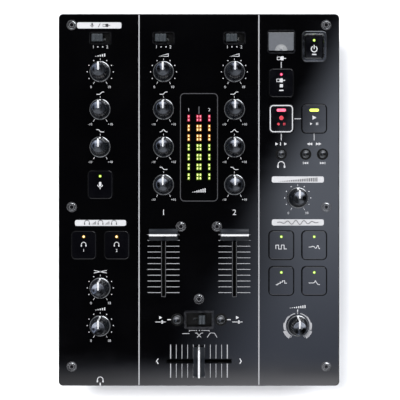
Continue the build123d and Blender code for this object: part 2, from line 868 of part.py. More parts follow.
def usb_port():
    """Upright USB socket, its metal shell and contact tongue, under its bezel."""
    y = at_row(usb_row)
    high = panel_top - usb_well - 0.9
    low = high - usb_shell_length
    shell = block(usb_x, y, low, high, usb_shell_width, usb_shell_depth)
    shell -= block(usb_x, y, low + 2, high + 1, usb_shell_width - 1.6, usb_shell_depth - 1.6)
    tongue = block(usb_x, y + 0.9, low + 2, high - 1, usb_shell_width - 3, 1.8)
    return group([usb_bezel(), shell, tongue])


def power_bezel():
    """Raised frame round the power button with a sloping inner wall."""
    x, row = power_place
    y = at_row(row)
    width = power_width + power_rim
    depth = power_depth + power_rim
    frame = slab(x, y, panel_top, panel_top + power_rise, width + power_rim, depth + power_rim, 3.5)
    frame = fillet(frame.edges().group_by(Axis.Z)[-1], 0.7)
    frame += slab(x, y, panel_under - 1, panel_top, width, depth, button_radius)
    throat = (power_width + 2 * button_play, power_depth + 2 * button_play)
    frame -= slab(x, y, panel_under - 2, panel_top + power_rise + 1, *throat, 1.4)
    slope = extrude(RectangleRounded(*throat, 1.4), power_rise + 0.5, taper=-38)
    return frame - Pos(x, y, panel_top + 0.4) * slope


def panel_bezels():
    """Every trim piece set in the panel but the one round the USB socket."""
    pieces = []
    opening = slot_length(switch_travel)
    tray = (tray_width, tray_depth, tray_recess, tray_rim, 0.5, opening)
    for x, row in switch_places.values():
        pieces.append(slide_tray(x, at_row(row), *tray))
    curve_place = (0, at_row(curve_row), curve_width, curve_depth)
    pieces.append(slide_tray(*curve_place, curve_recess, curve_rim, curve_flange, opening))
    for x, row, radius in round_places.values():
        y = at_row(row)
        barrel = round_barrel(radius)
        bezel = ring(x, y, panel_top, panel_top + 0.4, barrel + round_bezel_rim, radius + button_play)
        pieces.append(bezel + ring(x, y, panel_under - 0.6, panel_top, barrel, radius + button_play))
    return group([*pieces, power_bezel()])


# ---------------------------------------------------------------- sockets
def rca_middle():
    """Height of the middle of the phono socket pairs."""
    return case_under + rca_low + rca_spacing / 2


def rca_jacks():
    """Pairs of phono sockets: a moulded housing, two plated sleeves and two insulators."""
    pieces = []
    face = rear_face + 1.5
    tip = rear_face + rca_reach
    for x in rca_places:
        housing = level_slab(x, rca_middle(), rear_face, face, rca_width, rca_height, 1.5)
        inner = (rca_width - 1, rca_height - 2)
        housing += level_slab(x, rca_middle(), rear_inside - socket_depth, rear_face, *inner, 1)
        for z in (case_under + rca_low, case_under + rca_low + rca_spacing):
            hole = level_rod(x, z, rear_inside - 3, tip + 1, rca_bore)
            seat = level_rod(x, z, face, tip + 1, rca_insulator)
            pieces.append(level_rod(x, z, face, tip, rca_sleeve) - seat)
            pieces.append(level_rod(x, z, face, tip - 1.5, rca_insulator) - hole)
            housing -= hole
        pieces.append(housing)
    return group(pieces)


def xlr_sockets():
    """Two three-pin balanced outputs."""
    pieces = []
    z = case_under + xlr_height
    for x in xlr_places:
        face = rear_face + 2
        socket = level_slab(x, z, rear_face, face, xlr_flange_width, xlr_flange_height, 2)
        socket += level_rod(x, z, face - xlr_depth - 5, rear_face, xlr_barrel)
        socket -= level_rod(x, z, face - xlr_depth, face + 1, xlr_cavity)
        pieces.append(socket)
        pin_foot = face - xlr_depth
        for turn in (90, 210, 330):
            spot = Vector(pin_circle, 0, 0).rotate(Axis.Z, turn)
            pin = level_rod(x + spot.X, z + spot.Y, pin_foot, pin_foot + pin_length, pin_radius)
            pieces.append(pin)
    return group(pieces)


def jack(bore, bushing, nut, body, length):
    """Jack socket facing +Y, with the panel's outer face at zero."""
    socket = Pos(0, -sheet - length / 2, 0) * Box(body, length, body)
    socket += level_rod(0, 0, -sheet - 1, nut, bushing)
    socket -= level_rod(0, 0, 2 - sheet - length, nut + 1, bore)
    collar = level_rod(0, 0, 0, nut, bushing + 2)
    collar = chamfer(collar.edges().group_by(Axis.Y)[-1], 0.5)
    return [socket, collar - level_rod(0, 0, -1, nut + 1, bushing + 0.05)]


def phone_jacks():
    """Microphone and headphone jacks and two small control jacks."""
    pieces = []
    large = jack(phone_bore, phone_bushing, phone_nut, phone_body, phone_length)
    small = jack(control_bore, control_bushing, 2.0, 9.0, socket_depth)
    front = Pos(-side_x, front_face, case_under + phone_height) * Rot(0, 0, 180)
    pieces += [front * piece for piece in large]
    pieces += [Pos(inlet_x, rear_face, case_under + mic_jack_height) * piece for piece in large]
    for x in control_places:
        pieces += [Pos(x, rear_face, case_under + control_height) * piece for piece in small]
    return group(pieces)


def ac_inlet():
    """Two-pin mains inlet with its flange on the rear panel."""
    z = case_under + inlet_height
    face = rear_face + 1.6
    floor = face - 13
    body = level_slab(inlet_x, z, rear_face, face, inlet_width, inlet_tall, 3)
    body += level_slab(inlet_x, z, floor - 4, rear_face, inlet_width - 7, inlet_tall - 5.4, 4.2)
    body -= level_slab(inlet_x, z, floor, face + 1, inlet_width - 11, inlet_tall - 9.4, 4.2)
    half = inlet_pin_spacing / 2
    pins = [level_rod(inlet_x + side * half, z, floor, face - 2, pin_radius) for side in (-1, 1)]
    return group([body, *pins])


def ground_terminal():
    """Earth post: a stud with a knurled thumb nut."""
    z = case_under + control_height
    tip = rear_face + terminal_length
    stud = level_rod(terminal_x, z, rear_inside - 4, tip - 0.5, 2)
    nut = level_rod(terminal_x, z, rear_face + 2, tip, terminal_radius)
    nut = chamfer(nut.edges(), 0.6) - level_rod(terminal_x, z, rear_face, tip + 1, 2.05)
    washer = level_rod(terminal_x, z, rear_face, rear_face + 2, terminal_radius - 0.5)
    return group([stud, nut, washer - level_rod(terminal_x, z, rear_face - 1, tip, 2.05)])


# ---------------------------------------------------------------- every sub-part
parts = {
    "top_panel": top_panel(),
    "lower_case": lower_case(),
    "rear_panel": rear_panel(),
    "feet": feet(),
    "screws": screws(),
    "control_board": control_board(),
    "jack_board": jack_board(),
    "power_supply": power_supply(),
    "rotary_pots": rotary_pots(),
    "fader_bodies": fader_bodies(),
    "fader_bracket": fader_bracket(),
    "tact_switches": tact_switches(),
    "slide_switch_bodies": slide_switch_bodies(),
    "meter_leds": meter_leds(),
    "panel_bezels": panel_bezels(),
    "usb_port": usb_port(),
    "usb_lid": usb_lid(),
    "rca_jacks": rca_jacks(),
    "xlr_sockets": xlr_sockets(),
    "phone_jacks": phone_jacks(),
    "ac_inlet": ac_inlet(),
    "ground_terminal": ground_terminal(),
    "power_button": power_button(),
    "ch1_fader": fader(-channel_x, at_row(fader_top_row), 0),
    "ch2_fader": fader(channel_x, at_row(fader_top_row), 0),
    "crossfader": fader(0, at_row(cross_row), 90),
}
for name, (x, row) in knob_places.items():
    parts[name] = knob(x, row)
for name, (x, row) in button_places.items():
    parts[name] = square_button(x, row, 2 * lens_radius, 2 * lens_radius)
for name, (x, row) in bar_button_places.items():
    parts[name] = square_button(x, row, bar_length, bar_width)
for name, (x, row, radius) in round_places.items():
    parts[name] = round_button(x, row, radius)
for name, (x, row) in switch_places.items():
    parts[name] = slide_lever(x, row, lever_width, lever_depth, tray_recess, -switch_travel / 2)
curve_lever = (curve_lever_width, curve_lever_depth, curve_recess, switch_travel / 2)
parts["curve_switch"] = slide_lever(0, curve_row, *curve_lever)

os.makedirs("parts", exist_ok=True)
for name, shape in parts.items():
    export_step(shape, f"parts/{name}.step")
print(len(parts), "sub-parts,", panel_width, "wide,", panel_top + knob_height, "high")
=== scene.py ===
# %% [markdown]
# # A two-channel mixing desk for disc jockeys
# The desk stands on a table and is worked from above: a glossy black panel with knobs, buttons, slide switches and
# faders over a black steel case. Its construction is already made and packed, so this lesson only dresses it. The
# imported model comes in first, as a fixed frame, and every new piece takes its place from the boxes of that frame.

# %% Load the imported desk
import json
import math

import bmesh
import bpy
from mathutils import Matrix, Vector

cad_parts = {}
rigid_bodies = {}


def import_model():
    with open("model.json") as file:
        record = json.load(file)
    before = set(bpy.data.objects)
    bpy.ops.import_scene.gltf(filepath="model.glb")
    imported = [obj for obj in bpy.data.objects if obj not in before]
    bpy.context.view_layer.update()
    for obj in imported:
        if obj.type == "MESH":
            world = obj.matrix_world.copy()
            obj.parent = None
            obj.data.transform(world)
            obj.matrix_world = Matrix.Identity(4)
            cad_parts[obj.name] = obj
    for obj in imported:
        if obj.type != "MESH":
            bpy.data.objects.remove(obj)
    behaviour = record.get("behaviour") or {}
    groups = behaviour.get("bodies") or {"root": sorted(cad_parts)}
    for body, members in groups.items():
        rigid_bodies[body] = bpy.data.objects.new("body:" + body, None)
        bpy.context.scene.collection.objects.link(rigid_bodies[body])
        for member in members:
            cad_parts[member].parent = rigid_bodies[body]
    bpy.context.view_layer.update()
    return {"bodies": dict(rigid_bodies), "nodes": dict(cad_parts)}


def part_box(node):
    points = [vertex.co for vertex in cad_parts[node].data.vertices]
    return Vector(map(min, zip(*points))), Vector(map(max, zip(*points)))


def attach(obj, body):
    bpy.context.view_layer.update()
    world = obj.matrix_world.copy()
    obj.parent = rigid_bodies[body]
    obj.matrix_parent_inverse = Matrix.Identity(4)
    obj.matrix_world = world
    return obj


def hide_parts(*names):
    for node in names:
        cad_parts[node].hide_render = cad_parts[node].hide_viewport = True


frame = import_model()

# %% [markdown]
# ## Measures
# Nothing is placed by guesswork: every new piece reads its spot from the box of a node, so the lesson still fits when
# the construction changes. Blender works in metres. Small parts are easier to think of in millimetres, so `MM` turns
# one into the other.

MM = 0.001
nodes = frame["nodes"]
panel_low, panel_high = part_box("top_panel")
panel_top = panel_high.z
panel_x = (panel_low.x + panel_high.x) / 2
panel_y = (panel_low.y + panel_high.y) / 2
half_depth = (panel_high.y - panel_low.y) / 2 / MM


def centre(node):
    """Middle of a node as seen from above, in millimetres from the middle of the panel."""
    low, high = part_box(node)
    return ((low.x + high.x) / 2 - panel_x) / MM, ((low.y + high.y) / 2 - panel_y) / MM


def body_of(node):
    """The moving body of a control, named after its only node."""
    return node + "_body"


print("panel", [round(v / MM, 1) for v in (*panel_low, *panel_high)], "nodes", len(nodes))

# %% [markdown]
# ## Camera and floor
# A desk like this is shown from straight above, so that every control can be read. The camera hangs about 0.67 m over
# the panel with a long lens. The floor is one plain pale sheet. A colour transform that leaves white alone keeps the
# floor and the lamps as bright as they are set.

# %% Camera
VIEW_HEIGHT = 670 * MM
camera_data = bpy.data.cameras.new("camera")
camera_data.lens = 77.7
camera_data.clip_start = 10 * MM
camera = bpy.data.objects.new("camera", camera_data)
camera.location = (panel_x + 0.8 * MM, panel_y - 0.1 * MM, panel_top + VIEW_HEIGHT)
bpy.context.scene.collection.objects.link(camera)
bpy.context.scene.camera = camera
bpy.context.scene.view_settings.view_transform = "Standard"
print("camera at", [round(v, 4) for v in camera.location])

# %% [markdown]
# ## Nodes in few words
# Every material below is a small network of nodes. `add` makes one node, sets its fields, and fills each socket with
# either a plain value or the output of another node, so that a network reads from top to bottom like a recipe.


# %% One node at a time
def add(tree, kind, inputs=(), **fields):
    """Add a shader node; inputs maps a socket's name or number to a value or to another node's output."""
    made = tree.nodes.new("ShaderNode" + kind)
    for field, value in fields.items():
        setattr(made, field, value)
    for socket, value in dict(inputs).items():
        if isinstance(value, bpy.types.NodeSocket):
            tree.links.new(value, made.inputs[socket])
        else:
            made.inputs[socket].default_value = value
    return made


def maths(tree, operation, first, second=0.0):
    """One arithmetic step on two values."""
    return add(tree, "Math", {0: first, 1: second}, operation=operation).outputs[0]


def ramp(tree, value, low, high, to_low=0.0, to_high=1.0):
    """Ease a value from one range into another."""
    inputs = {0: value, 1: low, 2: high, 3: to_low, 4: to_high}
    return add(tree, "MapRange", inputs, interpolation_type="SMOOTHSTEP").outputs[0]


def mixed(tree, factor, first, second):
    """Blend two colours."""
    made = add(tree, "Mix", {0: factor}, data_type="RGBA")
    for socket, value in ((made.inputs[6], first), (made.inputs[7], second)):
        if isinstance(value, bpy.types.NodeSocket):
            tree.links.new(value, socket)
        else:
            socket.default_value = (*value, 1)
    return made.outputs[2]


print("node helpers ready")

# %% [markdown]
# ## The room
# A glossy black panel shows what hangs above it. Straight overhead the room is dark, which keeps the panel black. Over
# the right side and the front hangs a pale cloth, which turns those parts of the panel a soft bluish grey. Further
# down the room is bright in front and behind and dimmer at the sides, and that draws wedges of light on turned metal.
# The room is a world shader that works from the direction of each ray, so it costs nothing to render.

# %% World
SIDE_CLOTH_X = 42 * MM
SIDE_CLOTH_LEAN = 0.5
SIDE_CLOTH_LIGHT = 2.95
FRONT_CLOTH_Y = -122 * MM
FRONT_CLOTH_LIGHT = (1.25, 3.55)

world = bpy.data.worlds.new("studio")
world.use_nodes = True
bpy.context.scene.world = world
room = world.node_tree
ray = add(room, "SeparateXYZ", {0: add(room, "TexCoord").outputs["Generated"]})
up = maths(room, "MAXIMUM", ray.outputs[2], 0.05)
over_x = maths(room, "MULTIPLY", maths(room, "DIVIDE", ray.outputs[0], up), VIEW_HEIGHT)
over_y = maths(room, "MULTIPLY", maths(room, "DIVIDE", ray.outputs[1], up), VIEW_HEIGHT)

hem = maths(room, "ADD", maths(room, "MULTIPLY", over_y, SIDE_CLOTH_LEAN), SIDE_CLOTH_X)
reach = ramp(room, over_y, -60 * MM, 12 * MM, 80 * MM, 36 * MM)
side = ramp(room, maths(room, "SUBTRACT", over_x, hem), -11 * MM, reach)
full = ramp(room, over_y, -125 * MM, 5 * MM, 0.52, 1.0)
side = maths(room, "MULTIPLY", side, ramp(room, over_x, 165 * MM, 122 * MM))
side = maths(room, "MULTIPLY", maths(room, "MULTIPLY", side, full), SIDE_CLOTH_LIGHT)
front = ramp(room, maths(room, "SUBTRACT", FRONT_CLOTH_Y, over_y), 0.0, 25 * MM)
front = maths(room, "MULTIPLY", front, ramp(room, over_x, -125 * MM, 75 * MM, *FRONT_CLOTH_LIGHT))
cloth = maths(room, "MAXIMUM", side, front)
side_colour = mixed(room, full, (0.60, 0.70, 1.0), (0.77, 0.84, 1.0))
cloth_colour = mixed(room, ramp(room, over_y, -120 * MM, -142 * MM), side_colour, (0.94, 0.94, 1.0))
over = add(room, "VectorMath", {0: cloth_colour, "Scale": cloth}, operation="SCALE").outputs[0]
print("cloth nodes", len(room.nodes))

# %% [markdown]
# The walls of the room are dim at the sides and brighter in front and behind. Two strip lights hang across the room,
# a strong one in front and a weak one behind, just out of sight of the flat panel. Hollow turned metal gathers them
# into wedges of light. One window at the rear right draws the bright arc on the rim of every knob.

# %% Walls, strips and window
WINDOW = (0.42, 0.91, 0.0)
WINDOW_LIGHT = 5.0
WALL_LIGHT = (0.42, 0.9)
REAR_STRIP_LIGHT = 0.9
FRONT_STRIP_LIGHT = 2.8

flat = add(room, "CombineXYZ", {0: ray.outputs[0], 1: ray.outputs[1]})
flat = add(room, "VectorMath", {0: flat.outputs[0]}, operation="NORMALIZE").outputs[0]
fore = maths(room, "ABSOLUTE", add(room, "SeparateXYZ", {0: flat}).outputs[1])
walls = ramp(room, fore, 0.55, 0.98, *WALL_LIGHT)
toward = add(room, "VectorMath", {0: flat, 1: WINDOW}, operation="DOT_PRODUCT").outputs["Value"]
pane = maths(room, "MULTIPLY", ramp(room, toward, 0.87, 0.96), ramp(room, ray.outputs[2], 0.80, 0.62))
walls = maths(room, "ADD", walls, maths(room, "MULTIPLY", pane, WINDOW_LIGHT))
away = add(room, "CombineXYZ", {0: over_x, 1: over_y})
away = add(room, "VectorMath", {0: away.outputs[0]}, operation="LENGTH").outputs["Value"]
outside = ramp(room, away, 230 * MM, 560 * MM)
off_strip = maths(room, "ABSOLUTE", maths(room, "ADD", over_x, 50 * MM))
in_strip = ramp(room, off_strip, 250 * MM, 130 * MM)
rear_strip = ramp(room, over_y, 150 * MM, 200 * MM, 0.0, REAR_STRIP_LIGHT)
front_strip = ramp(room, over_y, -165 * MM, -200 * MM, 0.0, FRONT_STRIP_LIGHT)
strip_light = maths(room, "MULTIPLY", maths(room, "ADD", rear_strip, front_strip), in_strip)
far_end = ramp(room, maths(room, "ABSOLUTE", over_y), 430 * MM, 370 * MM)
strip_light = maths(room, "MULTIPLY", strip_light, far_end)
over = add(room, "VectorMath", {0: over, 1: strip_light}, operation="ADD").outputs[0]
tint = add(room, "VectorMath", {0: (0.95, 0.97, 1.0), "Scale": walls}, operation="SCALE").outputs[0]
around = add(room, "VectorMath", {0: tint, "Scale": outside}, operation="SCALE").outputs[0]
inside = maths(room, "SUBTRACT", 1.0, outside)
over = add(room, "VectorMath", {0: over, "Scale": inside}, operation="SCALE").outputs[0]
sky = add(room, "VectorMath", {0: over, 1: around}, operation="ADD").outputs[0]
room.links.new(sky, room.nodes["Background"].inputs["Color"])
print("world nodes", len(room.nodes))

# %% [markdown]
# ## Lamps of the studio
# One soft lamp at the rear left gives the short soft shadow on the right and in front. It lights the desk but isn't
# seen in its gloss, as if a polarising filter took its reflection away, so all reflections come from the room.


# %% Lamps
def soft_lamp(name, place, size, power):
    """Square area lamp aimed at the middle of the panel."""
    data = bpy.data.lights.new(name, "AREA")
    data.size = size
    data.energy = power
    lamp = bpy.data.objects.new(name, data)
    lamp.location = place
    target = Vector((panel_x, panel_y, panel_top))
    lamp.rotation_euler = (target - lamp.location).to_track_quat("-Z", "Y").to_euler()
    lamp.visible_glossy = False
    bpy.context.scene.collection.objects.link(lamp)
    return lamp


soft_lamp("key_lamp", (-0.24, 0.205, 1.256), 0.27, 21)

# %% [markdown]
# ## Shared effects
# Four effects turn up in most of the finishes, so each one is a node group, built once and then placed in each
# material with its own values. `grain` is the fine texture of a moulded or sprayed surface. `edge_wear` finds the
# corners, where a finish is handled and rubbed bright. `dust` settles on faces that look up. `smudges` are the broad
# patches that fingers and a cleaning cloth leave in a gloss.


# %% Effect groups
def effect(name, inputs, outputs):
    """Empty node group with named sockets; inputs are (name, first value), and a position socket comes first."""
    tree = bpy.data.node_groups.new(name, "ShaderNodeTree")
    tree.interface.new_socket("Position", in_out="INPUT", socket_type="NodeSocketVector")
    for label, value in inputs:
        socket = tree.interface.new_socket(label, in_out="INPUT", socket_type="NodeSocketFloat")
        socket.default_value = value
    for label in outputs:
        tree.interface.new_socket(label, in_out="OUTPUT", socket_type="NodeSocketFloat")
    return tree, tree.nodes.new("NodeGroupInput"), tree.nodes.new("NodeGroupOutput")


def noise(tree, position, scale, detail=3.0):
    """Soft noise at a place."""
    inputs = {"Vector": position, "Scale": scale, "Detail": detail}
    return add(tree, "TexNoise", inputs).outputs[0]


grain, given, result = effect("grain", [("Size", 0.4 * MM)], ["Height", "Tone"])
pitch = maths(grain, "DIVIDE", 1.0, given.outputs["Size"])
grain.links.new(noise(grain, given.outputs["Position"], pitch), result.inputs["Height"])
patches = noise(grain, given.outputs["Position"], maths(grain, "DIVIDE", pitch, 9.0), 2.0)
grain.links.new(ramp(grain, patches, 0.3, 0.7), result.inputs["Tone"])

edge_wear, given, result = effect("edge_wear", [("Radius", 0.4 * MM), ("Amount", 0.5)], ["Mask"])
rounded = add(edge_wear, "Bevel", {"Radius": given.outputs["Radius"]}, samples=4).outputs[0]
facing = add(edge_wear, "NewGeometry").outputs["Normal"]
agree = add(edge_wear, "VectorMath", {0: rounded, 1: facing}, operation="DOT_PRODUCT").outputs["Value"]
corner = ramp(edge_wear, maths(edge_wear, "SUBTRACT", 1.0, agree), 0.02, 0.2)
rubbed = ramp(edge_wear, noise(edge_wear, given.outputs["Position"], 260.0), 0.42, 0.66)
corner = maths(edge_wear, "MULTIPLY", corner, rubbed)
edge_wear.links.new(maths(edge_wear, "MULTIPLY", corner, given.outputs["Amount"]), result.inputs["Mask"])

dust, given, result = effect("dust", [("Amount", 0.3)], ["Mask"])
specks = ramp(dust, noise(dust, given.outputs["Position"], 2600.0, 1.0), 0.66, 0.8)
veil = ramp(dust, noise(dust, given.outputs["Position"], 24.0), 0.35, 0.8, 0.02, 0.25)
level = add(dust, "SeparateXYZ", {0: add(dust, "NewGeometry").outputs["Normal"]}).outputs[2]
lying = maths(dust, "MULTIPLY", maths(dust, "ADD", specks, veil), ramp(dust, level, 0.5, 0.95))
dust.links.new(maths(dust, "MULTIPLY", lying, given.outputs["Amount"]), result.inputs["Mask"])

smudges, given, result = effect("smudges", [("Size", 30 * MM)], ["Tone"])
wide = maths(smudges, "DIVIDE", 1.0, given.outputs["Size"])
streaks = add(smudges, "Mapping", {"Vector": given.outputs["Position"], "Scale": (1.0, 3.0, 1.0)})
swirl = noise(smudges, streaks.outputs[0], wide, 4.0)
smudges.links.new(ramp(smudges, swirl, 0.35, 0.72), result.inputs["Tone"])
print("groups", sorted(group.name for group in bpy.data.node_groups))

# %% [markdown]
# ## A finish
# Moulded plastic, sprayed steel, rubber and plating differ in numbers rather than in kind: a colour, how rough it is,
# how coarse its grain stands, and how it wears. So one function builds the network and each finish gives its numbers.
# What is the same all over stays on the shader's own sockets, and only what varies comes through nodes.


# %% The finish function
def placed(tree, group, inputs):
    """Place an effect group in a material and feed it the surface position."""
    made = tree.nodes.new("ShaderNodeGroup")
    made.node_tree = group
    tree.links.new(add(tree, "TexCoord").outputs["Object"], made.inputs["Position"])
    for socket, value in inputs.items():
        made.inputs[socket].default_value = value
    return made


def finish(name, colour, roughness, spread=0.08, metallic=0.0, size=0.4, depth=0.01, bright=None, wear=0.3,
           dusty=0.2, smudge=0.0, shade=0.8, specular=0.5, bumpy=0.5):
    """Material with grain, worn edges, dust and smudges; size and depth of the grain are in millimetres."""
    material = bpy.data.materials.new(name)
    material.use_nodes = True
    tree = material.node_tree
    shader = tree.nodes["Principled BSDF"]
    shader.inputs["Metallic"].default_value = metallic
    shader.inputs["Specular IOR Level"].default_value = specular
    texture = placed(tree, grain, {"Size": size * MM})
    worn = placed(tree, edge_wear, {"Radius": 0.35 * MM, "Amount": wear})
    settled = placed(tree, dust, {"Amount": dusty})
    darker = [channel * shade for channel in colour]
    surface = mixed(tree, texture.outputs["Tone"], darker, colour)
    surface = mixed(tree, worn.outputs["Mask"], surface, bright or [min(1, c * 2.5 + 0.03) for c in colour])
    surface = mixed(tree, settled.outputs["Mask"], surface, (0.32, 0.31, 0.30))
    tree.links.new(surface, shader.inputs["Base Color"])
    tone = texture.outputs["Tone"]
    if smudge:
        handled = placed(tree, smudges, {"Size": 26 * MM})
        tone = maths(tree, "ADD", maths(tree, "MULTIPLY", handled.outputs["Tone"], smudge), tone)
    rough = ramp(tree, tone, 0.0, 1.0 + smudge, roughness - spread, roughness + spread)
    tree.links.new(maths(tree, "ADD", rough, settled.outputs["Mask"]), shader.inputs["Roughness"])
    bump = add(tree, "Bump", {"Strength": bumpy, "Distance": depth * MM, "Height": texture.outputs["Height"]})
    tree.links.new(bump.outputs[0], shader.inputs["Normal"])
    return material


print("finish function ready")

# %% [markdown]
# ## Black finishes
# The panel is steel under a deep gloss black, so it is almost colourless and lives on its reflections. The caps of the
# buttons are gloss plastic of nearly the same black. The case is sprayed with a fine textured paint, and the trim
# round the switches is satin plastic. Knobs and fader caps are moulded in a smooth black with a touch of blue.

# %% Black finishes
panel_gloss = finish("panel_gloss_black", (0.0006, 0.0006, 0.0008), 0.05, 0.02, size=6.0, depth=0.0006,
                     bright=(0.012, 0.012, 0.014), wear=0.2, dusty=0.004, smudge=0.8)
button_gloss = finish("button_gloss_black", (0.0012, 0.0012, 0.0018), 0.08, 0.03, size=1.2, depth=0.001,
                      bright=(0.02, 0.02, 0.022), wear=0.25, dusty=0.004, smudge=0.6)
case_paint = finish("case_textured_black", (0.012, 0.012, 0.013), 0.52, 0.08, size=0.55, depth=0.05,
                    bright=(0.09, 0.09, 0.095), wear=0.4, dusty=0.06)
trim_black = finish("trim_satin_black", (0.002, 0.002, 0.0025), 0.16, 0.04, size=0.3, depth=0.002,
                    bright=(0.012, 0.012, 0.014), wear=0.25, dusty=0.004)
knob_black = finish("knob_black", (0.0025, 0.0035, 0.0055), 0.12, 0.02, size=0.25, depth=0.0005,
                    bright=(0.02, 0.024, 0.030), wear=0.2, dusty=0.003, specular=0.32)
cap_black = finish("fader_cap_black", (0.009, 0.011, 0.015), 0.30, 0.01, size=1.5, depth=0.0002,
                   bright=(0.05, 0.052, 0.056), wear=0.05, dusty=0.002, shade=0.94, specular=1.0)
lever_grey = finish("lever_dark_grey", (0.020, 0.024, 0.028), 0.40, 0.06, size=0.25, depth=0.006,
                    bright=(0.06, 0.065, 0.07), wear=0.4, dusty=0.02)
lid_grey = finish("lid_satin_grey", (0.066, 0.070, 0.078), 0.34, 0.03, size=0.22, depth=0.0015,
                  bright=(0.14, 0.15, 0.16), wear=0.4, dusty=0.01, shade=0.92)
# Painted highlight: the lid's thumb scoop is the same grey plastic, painted lighter for the light it catches.
scoop_painted_highlight = finish("lid_scoop_painted_highlight", (0.17, 0.175, 0.18), 0.30, 0.03, size=0.22, depth=0.001, dusty=0.0, shade=0.95)
well_black = finish("recess_matte_black", (0.0015, 0.0015, 0.0015), 0.6, 0.08, size=0.4, depth=0.01,
                    bright=(0.01, 0.01, 0.01), wear=0.2, dusty=0.01, specular=0.15)
rubber = finish("foot_rubber", (0.014, 0.014, 0.014), 0.78, 0.08, size=0.35, depth=0.03, wear=0.25, dusty=0.25)
print("black finishes", len(bpy.data.materials))

# %% [markdown]
# ## Metals
# The screws are blackened steel, rubbed bright at the edge of the head. Sockets are nickel plated, the phono sleeves
# carry a little gold, and the hidden brackets and pots are zinc plated. Plating is smooth, so its grain is shallow and
# its tone varies slowly.

# %% Metals
screw_black = finish("screw_blackened_steel", (0.006, 0.006, 0.007), 0.16, 0.03, size=0.3, depth=0.0005,
                     bright=(0.05, 0.05, 0.055), wear=0.4, dusty=0.003)
# The same bright metal paints a highlight on the rear inner wall of the power bezel.
rubbed_edge_and_painted_highlight = finish("screw_rubbed_edge_and_painted_highlight", (0.62, 0.63, 0.65), 0.22, 0.04, 1.0, size=0.3, depth=0.0005,
                    bright=(0.5, 0.5, 0.52), wear=0.4, dusty=0.003)
nickel = finish("nickel_plate", (0.62, 0.61, 0.58), 0.22, 0.07, 1.0, size=0.6, depth=0.001, wear=0.2, dusty=0.03)
gold = finish("gold_plate", (0.78, 0.58, 0.26), 0.24, 0.06, 1.0, size=0.6, depth=0.001, wear=0.2, dusty=0.03)
zinc = finish("zinc_plate", (0.52, 0.52, 0.50), 0.38, 0.1, 1.0, size=1.4, depth=0.002, wear=0.3, dusty=0.1)
spun_metal = finish("spun_button_metal", (0.085, 0.088, 0.092), 0.17, 0.03, 1.0, size=0.5, depth=0.0003,
                    bright=(0.3, 0.3, 0.32), wear=0.3, dusty=0.003)
dark_chrome = finish("bezel_dark_chrome", (0.10, 0.103, 0.11), 0.12, 0.03, 1.0, size=0.5, depth=0.0003,
                     bright=(0.3, 0.3, 0.32), wear=0.3, dusty=0.003)
rim_metal = finish("knob_rim_metal", (0.34, 0.345, 0.355), 0.24, 0.03, 1.0, size=0.3, depth=0.0005,
                   bright=(0.3, 0.31, 0.33), wear=0.3, dusty=0.003)
print("metals", [m.name for m in bpy.data.materials][-5:])

# %% [markdown]
# ## Plastics, boards and inks
# The insulators of the phono sockets are red and white, the boards green, and the parts of the supply have their own
# colours. Printed inks are flat and slightly rough. White print isn't paper white: it has to stay below the lamps.

# %% Plastics, boards and inks
insulator_red = finish("insulator_red", (0.42, 0.012, 0.012), 0.36, size=0.4, depth=0.003, wear=0.2)
insulator_white = finish("insulator_white", (0.62, 0.61, 0.58), 0.36, size=0.4, depth=0.003, wear=0.2)
board_green = finish("board_green", (0.012, 0.09, 0.035), 0.3, size=1.5, depth=0.01, wear=0.2)
coil_yellow = finish("transformer_tape", (0.5, 0.36, 0.06), 0.4, size=0.8, depth=0.01, wear=0.3)
can_blue = finish("capacitor_sleeve", (0.02, 0.03, 0.12), 0.3, size=0.8, depth=0.002, wear=0.3)


def ink(name, colour, specular=0.3):
    """Flat printed colour with a fine, even tooth."""
    return finish(name, colour, 0.5, size=0.15, depth=0.001, wear=0.0, dusty=0.0, shade=0.94, specular=specular)


ink_strip = ink("ink_strip_white", (0.345, 0.345, 0.355))
ink_white = ink("ink_white", (0.36, 0.36, 0.37))
ink_soft = ink("ink_soft_white", (0.235, 0.235, 0.245))
# Painted highlight: this grey ink isn't print; it draws the bright edges of the fader slots and rings on the screws.
painted_highlight_grey = ink("painted_highlight_grey", (0.075, 0.075, 0.08))
ink_dark = ink("ink_dark", (0.02, 0.02, 0.022))
ink_red = ink("ink_red", (0.36, 0.03, 0.045))
ink_dim = ink("ink_dim_grey", (0.032, 0.032, 0.035))
# Painted shade: this black ink without gloss isn't print; it draws shade round buttons, crossfader slot and screw
# heads.
painted_shade_black = ink("painted_shade_black", (0.0010, 0.0010, 0.0012), 0.02)
print("inks and plastics", len(bpy.data.materials))

# %% [markdown]
# ## Lit lamps
# Behind each window and light guide a lamp shines through cloudy plastic. The plastic glows most where it is thick, so
# its emission colour varies a little over the surface, and the strength itself is one number on the shader.


# %% Lamp finishes
def lamp_finish(name, colour, rim, strength):
    """Cloudy plastic lit from behind, with uneven light."""
    material = finish(name, [c * 0.5 for c in colour], 0.3, 0.05, size=0.3, depth=0.003, wear=0.0, dusty=0.0)
    tree = material.node_tree
    shader = tree.nodes["Principled BSDF"]
    cloud = noise(tree, add(tree, "TexCoord").outputs["Object"], 1400.0, 2.0)
    glow = mixed(tree, ramp(tree, cloud, 0.3, 0.7), rim, colour)
    tree.links.new(glow, shader.inputs["Emission Color"])
    shader.inputs["Emission Strength"].default_value = strength
    return material


